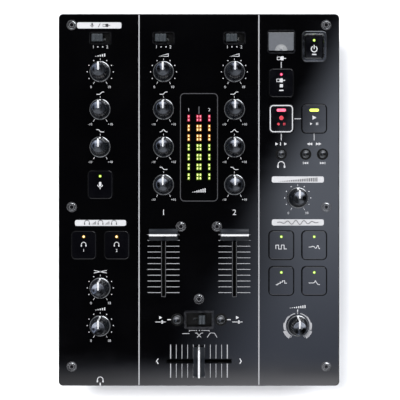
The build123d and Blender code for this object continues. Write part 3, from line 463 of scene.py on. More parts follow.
lamp_red = lamp_finish("lamp_red", (0.20, 0.006, 0.022), (0.12, 0.003, 0.012), 1.0)
lamp_amber = lamp_finish("lamp_amber", (0.22, 0.075, 0.005), (0.14, 0.045, 0.003), 1.0)
lamp_green = lamp_finish("lamp_green", (0.075, 0.125, 0.004), (0.045, 0.08, 0.003), 1.0)
guide_green = lamp_finish("guide_green", (0.22, 0.42, 0.02), (0.12, 0.26, 0.01), 1.0)
guide_amber = lamp_finish("guide_amber", (0.62, 0.34, 0.05), (0.40, 0.19, 0.02), 1.0)
guide_red = lamp_finish("guide_red", (0.60, 0.03, 0.12), (0.40, 0.01, 0.06), 1.0)
core_red = lamp_finish("core_red", (1.0, 0.22, 0.30), (0.95, 0.12, 0.20), 1.0)
core_amber = lamp_finish("core_amber", (1.0, 0.80, 0.36), (1.0, 0.62, 0.16), 1.0)
core_green = lamp_finish("core_green", (0.82, 1.0, 0.30), (0.66, 0.92, 0.14), 1.0)
core_cream = lamp_finish("core_cream", (1.0, 0.93, 0.66), (1.0, 0.84, 0.42), 1.05)
bar_red = lamp_finish("bar_red", (0.92, 0.16, 0.26), (0.78, 0.06, 0.13), 1.0)
bar_green = lamp_finish("bar_green", (0.78, 0.93, 0.14), (0.66, 0.84, 0.08), 1.0)
print("lamps", [m.name for m in bpy.data.materials if m.name.startswith(("lamp", "guide", "bar"))])

# %% [markdown]
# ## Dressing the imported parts
# A node of the frame often holds several solids that differ in finish, such as a button's cap and its light guide.
# Their meshes can't be changed, but each face may point to its own material slot. So the faces are first sorted into
# separate solids, and then a rule looks at the size and place of each solid and names its finish.


# %% Solids of a node
def solids_of(mesh):
    """Lists the faces of each separate solid of a mesh, with its lowest and highest corner in millimetres."""
    parent = {}

    def root(key):
        while parent[key] != key:
            parent[key] = parent[parent[key]]
            key = parent[key]
        return key

    keys = [tuple(round(v / MM, 3) for v in vertex.co) for vertex in mesh.vertices]
    for key in keys:
        parent[key] = key
    for polygon in mesh.polygons:
        first = root(keys[polygon.vertices[0]])
        for vertex in polygon.vertices:
            parent[root(keys[vertex])] = first
    solids = {}
    for polygon in mesh.polygons:
        solids.setdefault(root(keys[polygon.vertices[0]]), []).append(polygon)
    sorted_out = []
    for faces in solids.values():
        corners = [keys[vertex] for face in faces for vertex in face.vertices]
        low = Vector([min(corner[i] for corner in corners) for i in range(3)])
        high = Vector([max(corner[i] for corner in corners) for i in range(3)])
        sorted_out.append((faces, low, high))
    return sorted_out


def dress(node, rule):
    """Give a node one material, or every solid the material that rule(low corner, high corner) returns."""
    mesh = nodes[node].data
    mesh.materials.clear()
    if not callable(rule):
        mesh.materials.append(rule)
        return
    order = {}
    for faces, low, high in solids_of(mesh):
        material = rule(low, high)
        if material.name not in order:
            order[material.name] = len(order)
            mesh.materials.append(material)
        for face in faces:
            face.material_index = order[material.name]


plain = {
    "top_panel": panel_gloss, "lower_case": case_paint, "rear_panel": case_paint, "feet": rubber,
    "control_board": board_green, "jack_board": board_green, "fader_bracket": zinc, "tact_switches": trim_black,
    "slide_switch_bodies": zinc, "rotary_pots": zinc, "fader_bodies": well_black, "ground_terminal": nickel,
}
for node, material in plain.items():
    dress(node, material)
print("plain nodes dressed", len(plain))

# %% [markdown]
# A bezel, the USB lid and a screw head are one solid each and still have more than one finish. Here the rule looks at
# each face, at where its middle lies and which way it points. That is how the rubbed edge of a screw gets a finish of
# its own, and how the hollow of the lid and the rear inner wall of the power bezel get painted highlights.


# %% Bezels, lid and screws, face by face
def dress_faces(node, materials, pick):
    """Give every face of a node the material whose number pick(middle of the face, normal) returns."""
    mesh = nodes[node].data
    mesh.materials.clear()
    for material in materials:
        mesh.materials.append(material)
    for face in mesh.polygons:
        face.material_index = pick(face.center / MM, face.normal)


RING_REACH = 5.5
power_x, power_y = centre("power_button")
rings = [centre(node) for node in nodes if node.startswith(("track", "search", "fader_start"))]
lid_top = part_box("usb_lid")[1].z / MM


def bezel_finish(spot, normal):
    """Power bezel dark chrome, its rear inner wall a painted highlight; recesses and round rings matt, tray rims satin.
    """
    x, y = spot.x - panel_x / MM, spot.y - panel_y / MM
    if abs(x - power_x) < 12 and abs(y - power_y) < 14:
        # Painted highlight: the rear inner wall of the power bezel gets the bright metal of a screw's edge.
        return 3 if -0.95 < normal.y < -0.2 and y > power_y + 7 else 2
    near_ring = any(math.hypot(x - ring_x, y - ring_y) < RING_REACH for ring_x, ring_y in rings)
    return 1 if near_ring or spot.z < panel_top / MM - 0.2 else 0


def lid_finish(spot, normal):
    """The thumb scoop, the hollow in the top of the lid, is painted a lighter grey as a highlight."""
    return int(0.2 < normal.z < 0.995 and spot.z < lid_top - 0.12)


def screw_finish(spot, normal):
    """The rubbed edge is the slope round the head."""
    return int(0.4 < normal.z < 0.95)


dress_faces("panel_bezels", [trim_black, well_black, dark_chrome, rubbed_edge_and_painted_highlight], bezel_finish)
dress_faces("usb_lid", [lid_grey, scoop_painted_highlight], lid_finish)
dress_faces("screws", [screw_black, rubbed_edge_and_painted_highlight], screw_finish)
print("bezel faces", len(nodes["panel_bezels"].data.polygons))

# %% [markdown]
# The supply, the USB port and the sockets are groups of solids again. Their solids differ so much in size that the
# width alone tells which is which.


# %% Rules for nodes with several finishes
def width(low, high):
    """Size of a solid across the desk."""
    return high.x - low.x


def supply_rule(low, high):
    """Supply board: board, transformer, capacitors, heat sink and pillars."""
    if width(low, high) > 60:
        return board_green
    if width(low, high) > 25:
        return zinc if high.y - low.y < 5 else coil_yellow
    return can_blue if width(low, high) > 10 else zinc


def usb_rule(low, high):
    """USB port: bezel, metal shell and tongue."""
    if width(low, high) > 18:
        return trim_black
    return nickel if width(low, high) > 13 else insulator_white


dress("power_supply", supply_rule)
dress("usb_port", usb_rule)
dress("xlr_sockets", lambda low, high: trim_black if width(low, high) > 10 else nickel)
dress("ac_inlet", lambda low, high: trim_black if width(low, high) > 10 else nickel)
dress("phone_jacks", lambda low, high: nickel if high.y - low.y < 4 else trim_black)
print("sockets dressed")

# %% [markdown]
# The phono sockets are moulded round their sleeves, so here the finish is chosen face by face. Behind the sleeve's
# foot all is housing. In front of it the faces close to the axis are the insulator, red below for one side of the
# stereo pair and white above for the other, and the rest is the plated sleeve.

# %% Phono sockets
SLEEVE_STANDS = 1.6
INSULATOR_REACH = 3.3
COLUMN_PITCH = 16.0
UPPER_ROW, LOWER_ROW = 52.0, 34.0
ROW_SPLIT = (UPPER_ROW + LOWER_ROW) / 2

sockets = nodes["rca_jacks"].data
sockets.materials.clear()
for material in (trim_black, gold, insulator_red, insulator_white):
    sockets.materials.append(material)
jack_low, jack_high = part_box("rca_jacks")
first_x = jack_low.x / MM + 5.75
sleeve_foot = jack_high.y / MM - 9.5 + SLEEVE_STANDS
for face in sockets.polygons:
    spot = face.center / MM
    if spot.y < sleeve_foot:
        continue
    off_x = (spot.x - first_x + COLUMN_PITCH / 2) % COLUMN_PITCH - COLUMN_PITCH / 2
    upper = spot.z > ROW_SPLIT
    off_z = spot.z - (UPPER_ROW if upper else LOWER_ROW)
    inner = math.hypot(off_x, off_z) < INSULATOR_REACH
    face.material_index = (3 if upper else 2) if inner else 1
print("phono faces", len(sockets.polygons))

# %% [markdown]
# ## Level meter
# The meter shows both channels and the master output, each as a column of little lamps under dark windows: red at the
# top, amber below it, then green. The lamps are solids of one node, so the rule reads the colour from the height of
# the lamp in the column. The carrier that holds them stays black.

# %% Meter lamps
METER_PITCH = 7.55
meter_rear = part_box("meter_leds")[1].y / MM


def meter_rule(low, high):
    """Red for the first group from the rear, amber for two, green for the rest."""
    if width(low, high) > 10:
        return trim_black
    group = int((meter_rear - (low.y + high.y) / 2) / METER_PITCH)
    return lamp_red if group == 0 else lamp_amber if group < 3 else lamp_green


dress("meter_leds", meter_rule)
meter_lamps = [(low, high) for _, low, high in solids_of(nodes["meter_leds"].data) if width(low, high) < 10]
print("meter lamps", len(meter_lamps))

# %% [markdown]
# ## Buttons
# The square buttons keep the shape that the construction gives them, a rounded cap with a flange under the panel. Only
# the light guide in each one is a different material, and it is the one solid that is less than 3 mm tall.

# %% Button caps and light guides
guides = {
    "mic_on_button": guide_green, "ch1_cue_button": guide_amber, "ch2_cue_button": guide_amber,
    "usb_stop_button": guide_red, "record_button": bar_red, "play_button": bar_green, "power_button": guide_green,
    "effect_1_button": guide_green, "effect_2_button": guide_green, "effect_3_button": guide_green,
    "effect_4_button": guide_green,
}
for node, guide in guides.items():
    dress(node, lambda low, high, guide=guide: guide if high.z - low.z < 3 else button_gloss)
print("buttons dressed", len(guides))

# %% [markdown]
# ## Turned pieces
# Knobs and round buttons are turned shapes: a profile spun about its axis. Blender has a Screw modifier for that, but
# a knob's flutes need the radius to change with the angle, so `lathe` builds the rings itself and lets a small
# function push each point in or out.


# %% Turning a profile
def lathe(name, profile, turns, push=None):
    """Mesh of a profile of (radius, height) points in millimetres spun about Z; it starts and ends on the axis."""
    shape = bmesh.new()
    rings = []
    for radius, height in profile:
        if radius == 0:
            rings.append([shape.verts.new((0, 0, height * MM))])
            continue
        ring = []
        for i in range(turns):
            angle = math.tau * i / turns
            reach = radius + (push(angle, radius, height) if push else 0)
            ring.append(shape.verts.new((reach * math.sin(angle) * MM, reach * math.cos(angle) * MM, height * MM)))
        rings.append(ring)
    for lower, upper in zip(rings, rings[1:]):
        for i in range(turns):
            j = (i + 1) % turns
            around = [lower[i % len(lower)], upper[i % len(upper)], upper[j % len(upper)], lower[j % len(lower)]]
            shape.faces.new(dict.fromkeys(around))
    return as_mesh(name, shape)


def as_mesh(name, shape, smooth=40):
    """Turn a bmesh into a mesh that is smooth except at edges sharper than an angle."""
    bmesh.ops.recalc_face_normals(shape, faces=shape.faces)
    for face in shape.faces:
        face.smooth = True
    for edge in shape.edges:
        if len(edge.link_faces) == 2 and edge.calc_face_angle() > math.radians(smooth):
            edge.smooth = False
    mesh = bpy.data.meshes.new(name)
    shape.to_mesh(mesh)
    shape.free()
    return mesh


def place(name, mesh, node, slot, materials, x, y, height=0.0, replace=True):
    """Put a piece over a node's spot on the panel, on that node's body."""
    piece = bpy.data.objects.new(name, mesh)
    for material in materials:
        mesh.materials.append(material)
    bpy.context.scene.collection.objects.link(piece)
    piece.location = (panel_x + x * MM, panel_y + y * MM, panel_top + height * MM)
    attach(piece, body_of(node) if body_of(node) in frame["bodies"] else "desk")
    if replace:
        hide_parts(node)
    return piece


print("lathe ready")

# %% [markdown]
# ## Knobs
# Each knob has a flat skirt with a sloping shoulder and a tapered grip with shallow flutes for the fingers. A white
# pointer runs from the middle of the top over the rim and down the grip to the skirt. The flutes fade out beside
# the pointer, which needs a smooth land. The pointer is its own strip that follows the same profile, a hair above it.
# The top is a shallow cone turned on a lathe, so its reflection is stretched along fine rings.

# %% Knob profile
knob_low, knob_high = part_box("mic_level_knob")
KNOB_TOP = (knob_high.z - panel_top) / MM
SKIRT_RADIUS = (knob_high.x - knob_low.x) / 2 / MM
GRIP_FOOT = 6.7
GRIP_TOP = 5.6
FLUTES = 18
FLUTE_DEPTH = 0.28
LAND_ANGLE = math.radians(17)

skirt_profile = [(0, 0.85), (SKIRT_RADIUS - 0.25, 0.85), (SKIRT_RADIUS - 0.02, 1.1), (SKIRT_RADIUS - 0.02, 1.6),
                 (SKIRT_RADIUS - 0.12, 1.85), (SKIRT_RADIUS - 0.3, 2.05), (SKIRT_RADIUS - 0.6, 2.25)]
grip_profile = [(GRIP_FOOT + 0.35, 2.52), (GRIP_FOOT + 0.05, 2.72), (GRIP_FOOT - 0.06, 3.1), (GRIP_FOOT - 0.14, 4.0),
                (GRIP_FOOT - 0.4, 7.0), (GRIP_FOOT - 0.7, 10.5), (GRIP_TOP + 0.1, KNOB_TOP - 1.2),
                (GRIP_TOP, KNOB_TOP - 0.55), (GRIP_TOP - 0.15, KNOB_TOP - 0.2), (GRIP_TOP - 0.4, KNOB_TOP - 0.06)]
HOLLOW_RADIUS = GRIP_TOP - 0.75
HOLLOW_SLOPE = 0.21
HOLLOW_NOSE = 1.1
hollow = [HOLLOW_RADIUS * share for share in (1.0, 0.9, 0.8, 0.7, 0.6, 0.5, 0.4, 0.3, 0.22, 0.15, 0.08, 0.0)]
hollow_lip = math.hypot(HOLLOW_RADIUS, HOLLOW_NOSE)
top_profile = [(r, KNOB_TOP - 0.06 - HOLLOW_SLOPE * (hollow_lip - math.hypot(r, HOLLOW_NOSE))) for r in hollow]


def flute(angle, radius, height):
    """Depth of the flutes: none on the skirt, at the rim or beside the pointer."""
    if not 3.0 < height < KNOB_TOP - 0.6 or radius > GRIP_FOOT:
        return 0.0
    off_pointer = abs((angle + math.pi) % math.tau - math.pi)
    land = min(1.0, max(0.0, (off_pointer - LAND_ANGLE) / 0.12))
    return -FLUTE_DEPTH * land * (0.5 - 0.5 * math.cos(angle * FLUTES)) ** 0.7


def strip(name, path, width_mm, lift):
    """Ribbon along the pointer's side of a profile, lifted off it, with closed ends and sides."""
    shape = bmesh.new()
    rows = []
    for i, (radius, height) in enumerate(path):
        before, after = path[max(i - 1, 0)], path[min(i + 1, len(path) - 1)]
        along = Vector((after[0] - before[0], after[1] - before[1])).normalized()
        out = Vector((-along.y, along.x))
        row = []
        for side, raised in ((-1, 0.15), (-1, -lift), (1, -lift), (1, 0.15)):
            spot = Vector((radius, height)) - out * raised
            row.append(shape.verts.new((side * width_mm / 2 * MM, spot.x * MM, spot.y * MM)))
        rows.append(row)
    for lower, upper in zip(rows, rows[1:]):
        for i in range(4):
            shape.faces.new((lower[i], lower[(i + 1) % 4], upper[(i + 1) % 4], upper[i]))
    shape.faces.new(rows[0])
    shape.faces.new(list(reversed(rows[-1])))
    return as_mesh(name, shape)


pointer_path = [(-0.6, top_profile[-1][1]), *reversed(top_profile), *reversed(grip_profile), skirt_profile[-1]]
print("knob", round(KNOB_TOP, 2), "mm tall, skirt radius", round(SKIRT_RADIUS, 2))

# %% [markdown]
# One form serves all fifteen knobs. Its top and its rim get their own metals by how far a face lies from the axis. The
# rings of the lathe are far too fine to model, so the shader's own anisotropy stretches the reflection along them.


# %% Knobs in place
def turned(material, stretch):
    """Stretch a material's reflection along rings round the piece's own axis."""
    tree = material.node_tree
    shader = tree.nodes["Principled BSDF"]
    shader.inputs["Anisotropic"].default_value = stretch
    rings = add(tree, "Tangent", direction_type="RADIAL", axis="Z")
    tree.links.new(rings.outputs[0], shader.inputs["Tangent"])
    return material


knob_top = turned(finish("knob_turned_top", (0.105, 0.114, 0.13), 0.12, 0.02, 1.0, size=0.25, depth=0.0002,
                         bright=(0.14, 0.15, 0.17), wear=0.1, dusty=0.003), 0.35)
RIM_WIDTH = 0.5
TURNS = 144
POINTER_WIDTH = 1.3
knob_nodes = sorted(name for name in nodes if name.endswith("_knob"))
pointer_white = finish("pointer_white", (0.47, 0.47, 0.48), 0.4, size=0.2, depth=0.002, wear=0.0, dusty=0.0)
for node in knob_nodes:
    x, y = centre(node)
    body = lathe(node + "_form", skirt_profile + grip_profile + top_profile, TURNS, flute)
    for face in body.polygons:
        out = math.hypot(face.center.x, face.center.y) / MM
        hollow_face = face.center.z > (KNOB_TOP - 1.2) * MM and out < HOLLOW_RADIUS
        face.material_index = 1 if hollow_face else 2 if out > SKIRT_RADIUS - RIM_WIDTH else 0
    place(node + "_turned", body, node, "knob", [knob_black, knob_top, rim_metal], x, y)
    line = strip(node + "_line", pointer_path, POINTER_WIDTH, 0.04)
    place(node + "_pointer", line, node, "knob", [pointer_white], x, y, replace=False)
print("knobs", len(knob_nodes))

# %% [markdown]
# ## Round buttons
# The five small round buttons are spun metal caps with a dished face. Spinning leaves fine rings, and these stretch
# each highlight into a wedge that points at the middle. Real rings are too fine to model, so these caps use the same
# stretched reflection as the tops of the knobs.

# %% Spun caps
turned(spun_metal, 0.75)
round_nodes = ["track_mark_button", "search_back_button", "search_forward_button", "fader_start_1_button",
               "fader_start_2_button"]
for node in round_nodes:
    x, y = centre(node)
    low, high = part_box(node)
    radius = (high.x - low.x) / 2 / MM - 1.2
    top = (high.z - panel_top) / MM
    profile = [(0, -1.6), (radius - 0.1, -1.6), (radius, -1.4), (radius, top - 0.3), (radius - 0.15, top - 0.08),
               (radius - 0.4, top), (radius - 0.62, top - 0.06)]
    profile += [(share * (radius - 0.62), top - 0.5 + 0.42 * share**2) for share in (0.9, 0.75, 0.6, 0.4, 0.2)]
    cap = lathe(node + "_form", profile + [(0, top - 0.5)], 64)
    place(node + "_spun", cap, node, "round_button", [spun_metal], x, y)
print("round buttons", len(round_nodes))

# %% [markdown]
# ## Extruded pieces
# A fader cap and a switch lever have one outline all along their length. `bar` sweeps an outline, drawn as seen from
# the end, and pulls the ends in by a slope. A Bevel modifier then rounds every edge a little, as a mould does.


# %% Sweeping an outline
def bar(name, outline, half_length, slope=0.0, across=False):
    """Mesh of an outline of (side, height) points swept along X, or along Y if it lies across."""
    shape = bmesh.new()
    ends = []
    for end in (-1, 1):
        row = []
        for side, height in outline:
            along = end * (half_length - slope * height)
            spot = (side, along) if across else (along, side)
            row.append(shape.verts.new((spot[0] * MM, spot[1] * MM, height * MM)))
        ends.append(row)
        shape.faces.new(row if end == 1 else list(reversed(row)))
    count = len(outline)
    for i in range(count):
        j = (i + 1) % count
        shape.faces.new((ends[0][i], ends[0][j], ends[1][j], ends[1][i]))
    return as_mesh(name, shape)


def rounded_edges(piece, size, segments=2):
    """Round the sharp edges of a piece."""
    modifier = piece.modifiers.new("moulded_edges", "BEVEL")
    modifier.width = size * MM
    modifier.segments = segments
    modifier.limit_method = "ANGLE"
    modifier.angle_limit = math.radians(35)
    return piece


print("bar ready")

# %% [markdown]
# ## Fader caps
# A fader cap has hollow flanks for two fingertips and a narrow ridge. A white line runs along the ridge and down both
# ends, so that the setting can be read from any side. The cap rides on a thin blade that reaches into the slot.

# %% Fader cap outline
CAP_LIFT = 1.5
CAP_HEIGHT = 11.5
CAP_DEPTH = 9.0
CAP_LENGTH = 22.5
CAP_RIDGE = 2.2
LINE_WIDTH = 1.35
END_SLOPE = math.tan(math.radians(3.7))
BLADE_THICK, BLADE_LENGTH, BLADE_DROP = 1.6, 4.0, 8.0


def flank(steps=9):
    """Hollow flank from the foot of the cap up to its ridge, as (side, height) points."""
    points = []
    foot, crest = CAP_DEPTH / 2 - 0.35, CAP_RIDGE / 2
    for i in range(steps + 1):
        share = i / steps
        side = crest + (foot - crest) * (1 - share) ** 2.1
        points.append((side, 2.6 + (CAP_HEIGHT - 2.75) * share))
    return points


half = CAP_DEPTH / 2
cap_outline = [(half - 0.25, 0.0), (half, 0.25), (half, 1.9), *flank(), (CAP_RIDGE / 2 - 0.25, CAP_HEIGHT)]
cap_outline += [(-side, height) for side, height in reversed(cap_outline)]
print("cap outline", len(cap_outline), "points")

# %% [markdown]
# The channel faders lie across the desk and the crossfader lies along it, so one function makes all three and only
# turns the sweep.


# %% Fader caps in place
def fader_cap(node, across):
    """Cap, white line and blade of one fader."""
    x, y = centre(node)
    cap = bar(node + "_cap_form", cap_outline, CAP_LENGTH / 2, END_SLOPE, across)
    rounded_edges(place(node + "_cap", cap, node, "cap", [cap_black], x, y, CAP_LIFT), 0.25)
    top, side = CAP_HEIGHT + 0.04, LINE_WIDTH / 2
    line_outline = [(side, 0.4), (side, top), (-side, top), (-side, 0.4)]
    line = bar(node + "_line_form", line_outline, CAP_LENGTH / 2 + 0.02, END_SLOPE, across)
    place(node + "_white_line", line, node, "cap", [pointer_white], x, y, CAP_LIFT, replace=False)
    top, side = CAP_LIFT + 0.3, BLADE_THICK / 2
    blade_outline = [(side, -BLADE_DROP), (side, top), (-side, top), (-side, -BLADE_DROP)]
    blade = bar(node + "_blade_form", blade_outline, BLADE_LENGTH / 2, 0.0, not across)
    place(node + "_blade", blade, node, "cap", [nickel], x, y, replace=False)


for node, across in (("ch1_fader", False), ("ch2_fader", False), ("crossfader", True)):
    fader_cap(node, across)
print("fader caps made")

# %% [markdown]
# ## Switch levers
# The slide switches have low levers with rounded ribs, which a thumb pushes from side to side. The outline of the
# ribs is a row of half waves, and each lever stands in its tray as far as the frame's box says.


# %% Switch levers
def lever_outline(width_mm, foot, top, ribs=3, steps=6):
    """Outline of a ribbed lever seen from the front."""
    points = [(width_mm / 2, foot)]
    rib = width_mm / ribs
    for i in range(ribs):
        for j in range(steps + 1):
            share = j / steps
            side = width_mm / 2 - (i + share) * rib
            points.append((side, top - 0.75 + 0.75 * math.sin(math.pi * share) ** 0.6))
    unique = list(dict.fromkeys((round(side, 4), round(height, 4)) for side, height in points))
    return unique + [(-width_mm / 2, foot)]


LEVER_FOOT = -2.2
lever_ribs = {"mic_input_switch": 3, "ch1_input_switch": 3, "ch2_input_switch": 3, "curve_switch": 2}
for node, ribs in lever_ribs.items():
    low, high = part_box(node)
    x, y = centre(node)
    top = (high.z - panel_top) / MM
    outline = lever_outline((high.x - low.x) / MM, LEVER_FOOT, top, ribs)
    lever = bar(node + "_lever_form", outline, (high.y - low.y) / 2 / MM, 0.03, True)
    rounded_edges(place(node + "_lever", lever, node, "lever", [lever_grey], x, y), 0.3)
print("levers", len(lever_ribs))

# %% [markdown]
# ## Printing
# The panel is screen printed. Each print is drawn flat with a few strokes, faces and figures, and then given the
# thickness of its ink. Words would date and bind the part to one maker, so controls are marked with plain figures and
# simple signs instead: rising bars for a level, a curve for a tone control, and the usual signs of a tape deck.

# %% Drawing with ink
INK = 0.05


def new_sheet():
    """Empty sheet to draw on, in millimetres."""
    return bmesh.new()


def fill(sheet, points):
    """Fill one outline."""
    sheet.faces.new([sheet.verts.new((x * MM, y * MM, 0)) for x, y in points])


def stroke(sheet, points, thick, closed=False):
    """Draw a line of even thickness with mitred corners."""
    count = len(points)
    pairs = []
    for i, point in enumerate(points):
        here = Vector(point)
        after = Vector(points[(i + 1) % count]) if closed or i < count - 1 else None
        before = Vector(points[i - 1]) if closed or i > 0 else None
        first = (here - before).normalized() if before is not None else (after - here).normalized()
        last = (after - here).normalized() if after is not None else first
        normal = Vector((-first.y, first.x)) + Vector((-last.y, last.x))
        normal *= thick / 2 / max(0.3, 1 + first.dot(last))
        pairs.append([sheet.verts.new(((here + s * normal).x * MM, (here + s * normal).y * MM, 0)) for s in (1, -1)])
    for i in range(count if closed else count - 1):
        left, right = pairs[i]
        next_left, next_right = pairs[(i + 1) % count]
        sheet.faces.new((left, right, next_right, next_left))


def arc(x, y, radius, first, last, steps=16):
    """Points on an arc; angles are in degrees clockwise from the rear of the desk."""
    angles = [math.radians(first + (last - first) * i / steps) for i in range(steps + 1)]
    return [(x + radius * math.sin(a), y + radius * math.cos(a)) for a in angles]


def disc(sheet, x, y, radius, steps=20):
    """Fill a circle."""
    fill(sheet, arc(x, y, radius, 0, 360, steps)[:-1])


def box_outline(x, y, wide, deep, radius=0.0, steps=5):
    """Points round a rectangle with rounded corners."""
    points = []
    for turn, (sx, sy) in enumerate(((1, 1), (1, -1), (-1, -1), (-1, 1))):
        cx, cy = x + sx * (wide / 2 - radius), y + sy * (deep / 2 - radius)
        corner = arc(cx, cy, radius, turn * 90, turn * 90 + 90, steps) if radius else [(cx, cy)]
        points += corner
    return points


def panel_box(sheet, x, y, wide, deep, radius=0.0):
    """Fill a rectangle with rounded corners."""
    fill(sheet, box_outline(x, y, wide, deep, radius))


def digits(sheet, text, x, y, height):
    """Draw figures with Blender's own typeface, centred on a point."""
    curve = bpy.data.curves.new("figures", "FONT")
    curve.body = text
    curve.resolution_u = 3
    writer = bpy.data.objects.new("figures", curve)
    bpy.context.scene.collection.objects.link(writer)
    bpy.context.view_layer.update()
    mesh = bpy.data.meshes.new_from_object(writer.evaluated_get(bpy.context.evaluated_depsgraph_get()))
    bpy.data.objects.remove(writer)
    corners = [vertex.co for vertex in mesh.vertices]
    low = Vector([min(c[i] for c in corners) for i in range(2)])
    high = Vector([max(c[i] for c in corners) for i in range(2)])
    scale = height / max(high.y - low.y, 0.3)
    made = [sheet.verts.new((((c.x - (low.x + high.x) / 2) * scale + x) * MM,
                             ((c.y - (low.y + high.y) / 2) * scale + y) * MM, 0)) for c in corners]
    for polygon in mesh.polygons:
        sheet.faces.new([made[i] for i in polygon.vertices])
    bpy.data.meshes.remove(mesh)


def print_on(sheet, name, node, slot, material, x=0.0, y=0.0, height=0.0):
    """Give the drawn faces the thickness of ink and lay them on the panel or on a control."""
    bmesh.ops.remove_doubles(sheet, verts=sheet.verts, dist=0.0005 * MM)
    bmesh.ops.recalc_face_normals(sheet, faces=sheet.faces)
    for face in sheet.faces:
        if face.normal.z < 0:
            face.normal_flip()
    top = sheet.faces[:]
    raised = bmesh.ops.extrude_face_region(sheet, geom=top, use_keep_orig=True)
    moved = [item for item in raised["geom"] if isinstance(item, bmesh.types.BMVert)]
    bmesh.ops.translate(sheet, verts=moved, vec=(0, 0, INK * MM))
    return place(name, as_mesh(name + "_ink", sheet), node, slot, [material], x, y, height + 0.005, replace=False)


def panel_print(sheet, name, material, height=0.0, slot="panel"):
    """Lay a sheet on the panel."""
    return print_on(sheet, name, "top_panel", slot, material, height=height)


print("ink tools ready")

# %% [markdown]
# Each sign is a small function with a place and a size, so that the same sign can stand on the panel, on a strip or on
# a button. Filled shapes and strokes of even thickness are enough for all of them.


# %% Signs
def rising_bars(sheet, x, y, wide, high, count=5):
    """Level: bars that rise from left to right."""
    step = wide / count
    for i in range(count):
        tall = high * (i + 1) / count
        panel_box(sheet, x - wide / 2 + step * (i + 0.5), y - high / 2 + tall / 2, step * 0.55, tall)


def wedge(sheet, x, y, wide, high):
    """Trim: a thin wedge."""
    corners = [(x - wide / 2, y - high / 2), (x + wide / 2, y - high / 2), (x + wide / 2, y + high / 2)]
    stroke(sheet, corners, 0.5, closed=True)


def tone_curve(sheet, x, y, wide, high, lift):
    """Tone control: a response curve, raised where lift says."""
    points = []
    for i in range(17):
        share = i / 16
        points.append((x + (share - 0.5) * wide, y - high / 2 + high * lift(share)))
    stroke(sheet, points, 0.55)


def ease(share):
    """Smooth step from 0 to 1."""
    share = min(1.0, max(0.0, share))
    return share * share * (3 - 2 * share)


CURVES = {
    "high": lambda share: ease((share - 0.4) * 2.6),
    "mid": lambda share: math.exp(-(((share - 0.5) * 5) ** 2)),
    "low": lambda share: ease((0.6 - share) * 2.6),
}


def headphones(sheet, x, y, size):
    """Headphones: a hoop and two ear pads."""
    stroke(sheet, arc(x, y, size * 0.42, -100, 100), size * 0.11)
    for side in (-1, 1):
        panel_box(sheet, x + side * size * 0.42, y - size * 0.22, size * 0.2, size * 0.34, size * 0.07)


def microphone(sheet, x, y, size):
    """Microphone: capsule, cradle and stem."""
    panel_box(sheet, x, y + size * 0.2, size * 0.34, size * 0.6, size * 0.16)
    stroke(sheet, arc(x, y + size * 0.12, size * 0.34, 95, 265), size * 0.1)
    stroke(sheet, [(x, y - size * 0.22), (x, y - size * 0.5)], size * 0.1)


def plug_sign(sheet, x, y, size):
    """A plug: its shell, two contacts and the lead."""
    stroke(sheet, box_outline(x - size * 0.3, y, size * 0.4, size * 0.34), size * 0.07, closed=True)
    panel_box(sheet, x + size * 0.12, y, size * 0.36, size * 0.5, size * 0.06)
    stroke(sheet, [(x + size * 0.3, y), (x + size * 0.6, y)], size * 0.09)


def triangle(sheet, x, y, size, way=1):
    """Play sign, pointing right or left."""
    fill(sheet, [(x - way * size * 0.4, y + size / 2), (x + way * size * 0.5, y), (x - way * size * 0.4, y - size / 2)])


def pause(sheet, x, y, size):
    """Pause sign: two bars."""
    for side in (-1, 1):
        panel_box(sheet, x + side * size * 0.28, y, size * 0.3, size)


def skip(sheet, x, y, size, way):
    """Search sign: two triangles against a bar."""
    for i in range(2):
        triangle(sheet, x + way * (i - 0.7) * size * 0.9, y, size, way)
    panel_box(sheet, x + way * size * 1.0, y, size * 0.22, size)


def wave(sheet, x, y, wide, high, points, thick=0.5):
    """A wave drawn from shares of its width and height."""
    stroke(sheet, [(x + (u - 0.5) * wide, y + (v - 0.5) * high) for u, v in points], thick)


WAVES = {
    "effect_1": [(0, 0), (0, 1), (0.25, 1), (0.25, 0), (0.5, 0), (0.5, 1), (0.75, 1), (0.75, 0), (1, 0)],
    "effect_2": [(i / 32, 0.5 + 0.5 * math.sin(12 * (i / 32) ** 2) * i / 32) for i in range(33)],
    "effect_3": [(0, 0), (0.2, 0), (0.2, 0.33), (0.4, 0.33), (0.4, 0.67), (0.6, 0.67), (0.6, 1), (0.8, 1), (0.8, 0.4),
                 (1, 0.4)],
    "effect_4": [(0, 0.45), (0.35, 0.45), (0.5, 0.55), (0.6, 1), (0.7, 0.55), (0.8, 0.15), (1, 0)],
}
print("signs ready")

# %% [markdown]
# ## Panel print, lines and frames
# Two pale lines divide the panel into its three sections. Grey frames gather the meter and the strip of each title,
# and short lines tie a control to its sign.

# %% Lines and frames
SECTION_X = 46.5
CHANNEL_X = 27.5
SECTION_LINE = 0.9
TIE_LINE = 0.7
usb_x, usb_y = centre("usb_port")
record_x, record_y = centre("record_button")
play_x, play_y = centre("play_button")
cross_y = centre("crossfader")[1]
curve_y = centre("fader_start_1_button")[1]
phones_x = centre("phones_level_knob")[0]

sheet = new_sheet()
for side in (-1, 1):
    stroke(sheet, [(side * SECTION_X, -half_depth + 0.9), (side * SECTION_X, half_depth - 0.9)], SECTION_LINE)
stroke(sheet, [(record_x + 10.2, record_y), (play_x - 10.2, play_y)], TIE_LINE)
for x in (record_x, play_x):
    stroke(sheet, [(x, record_y - 11.4), (x, record_y - 16.8)], TIE_LINE)
stroke(sheet, [(usb_x, usb_y - 15.6), (usb_x, usb_y - 20.4)], TIE_LINE)
panel_print(sheet, "section_lines", ink_soft)

sheet = new_sheet()
meter_y = centre("meter_leds")[1]
stroke(sheet, box_outline(0, meter_y, 28.8, 83.4, 3.0), 0.6, closed=True)
stroke(sheet, [(0, meter_y + 31.6), (0, meter_y + 26)], 1.0)
panel_print(sheet, "meter_frame", ink_dim)
print("lines printed; meter middle", round(meter_y, 2))

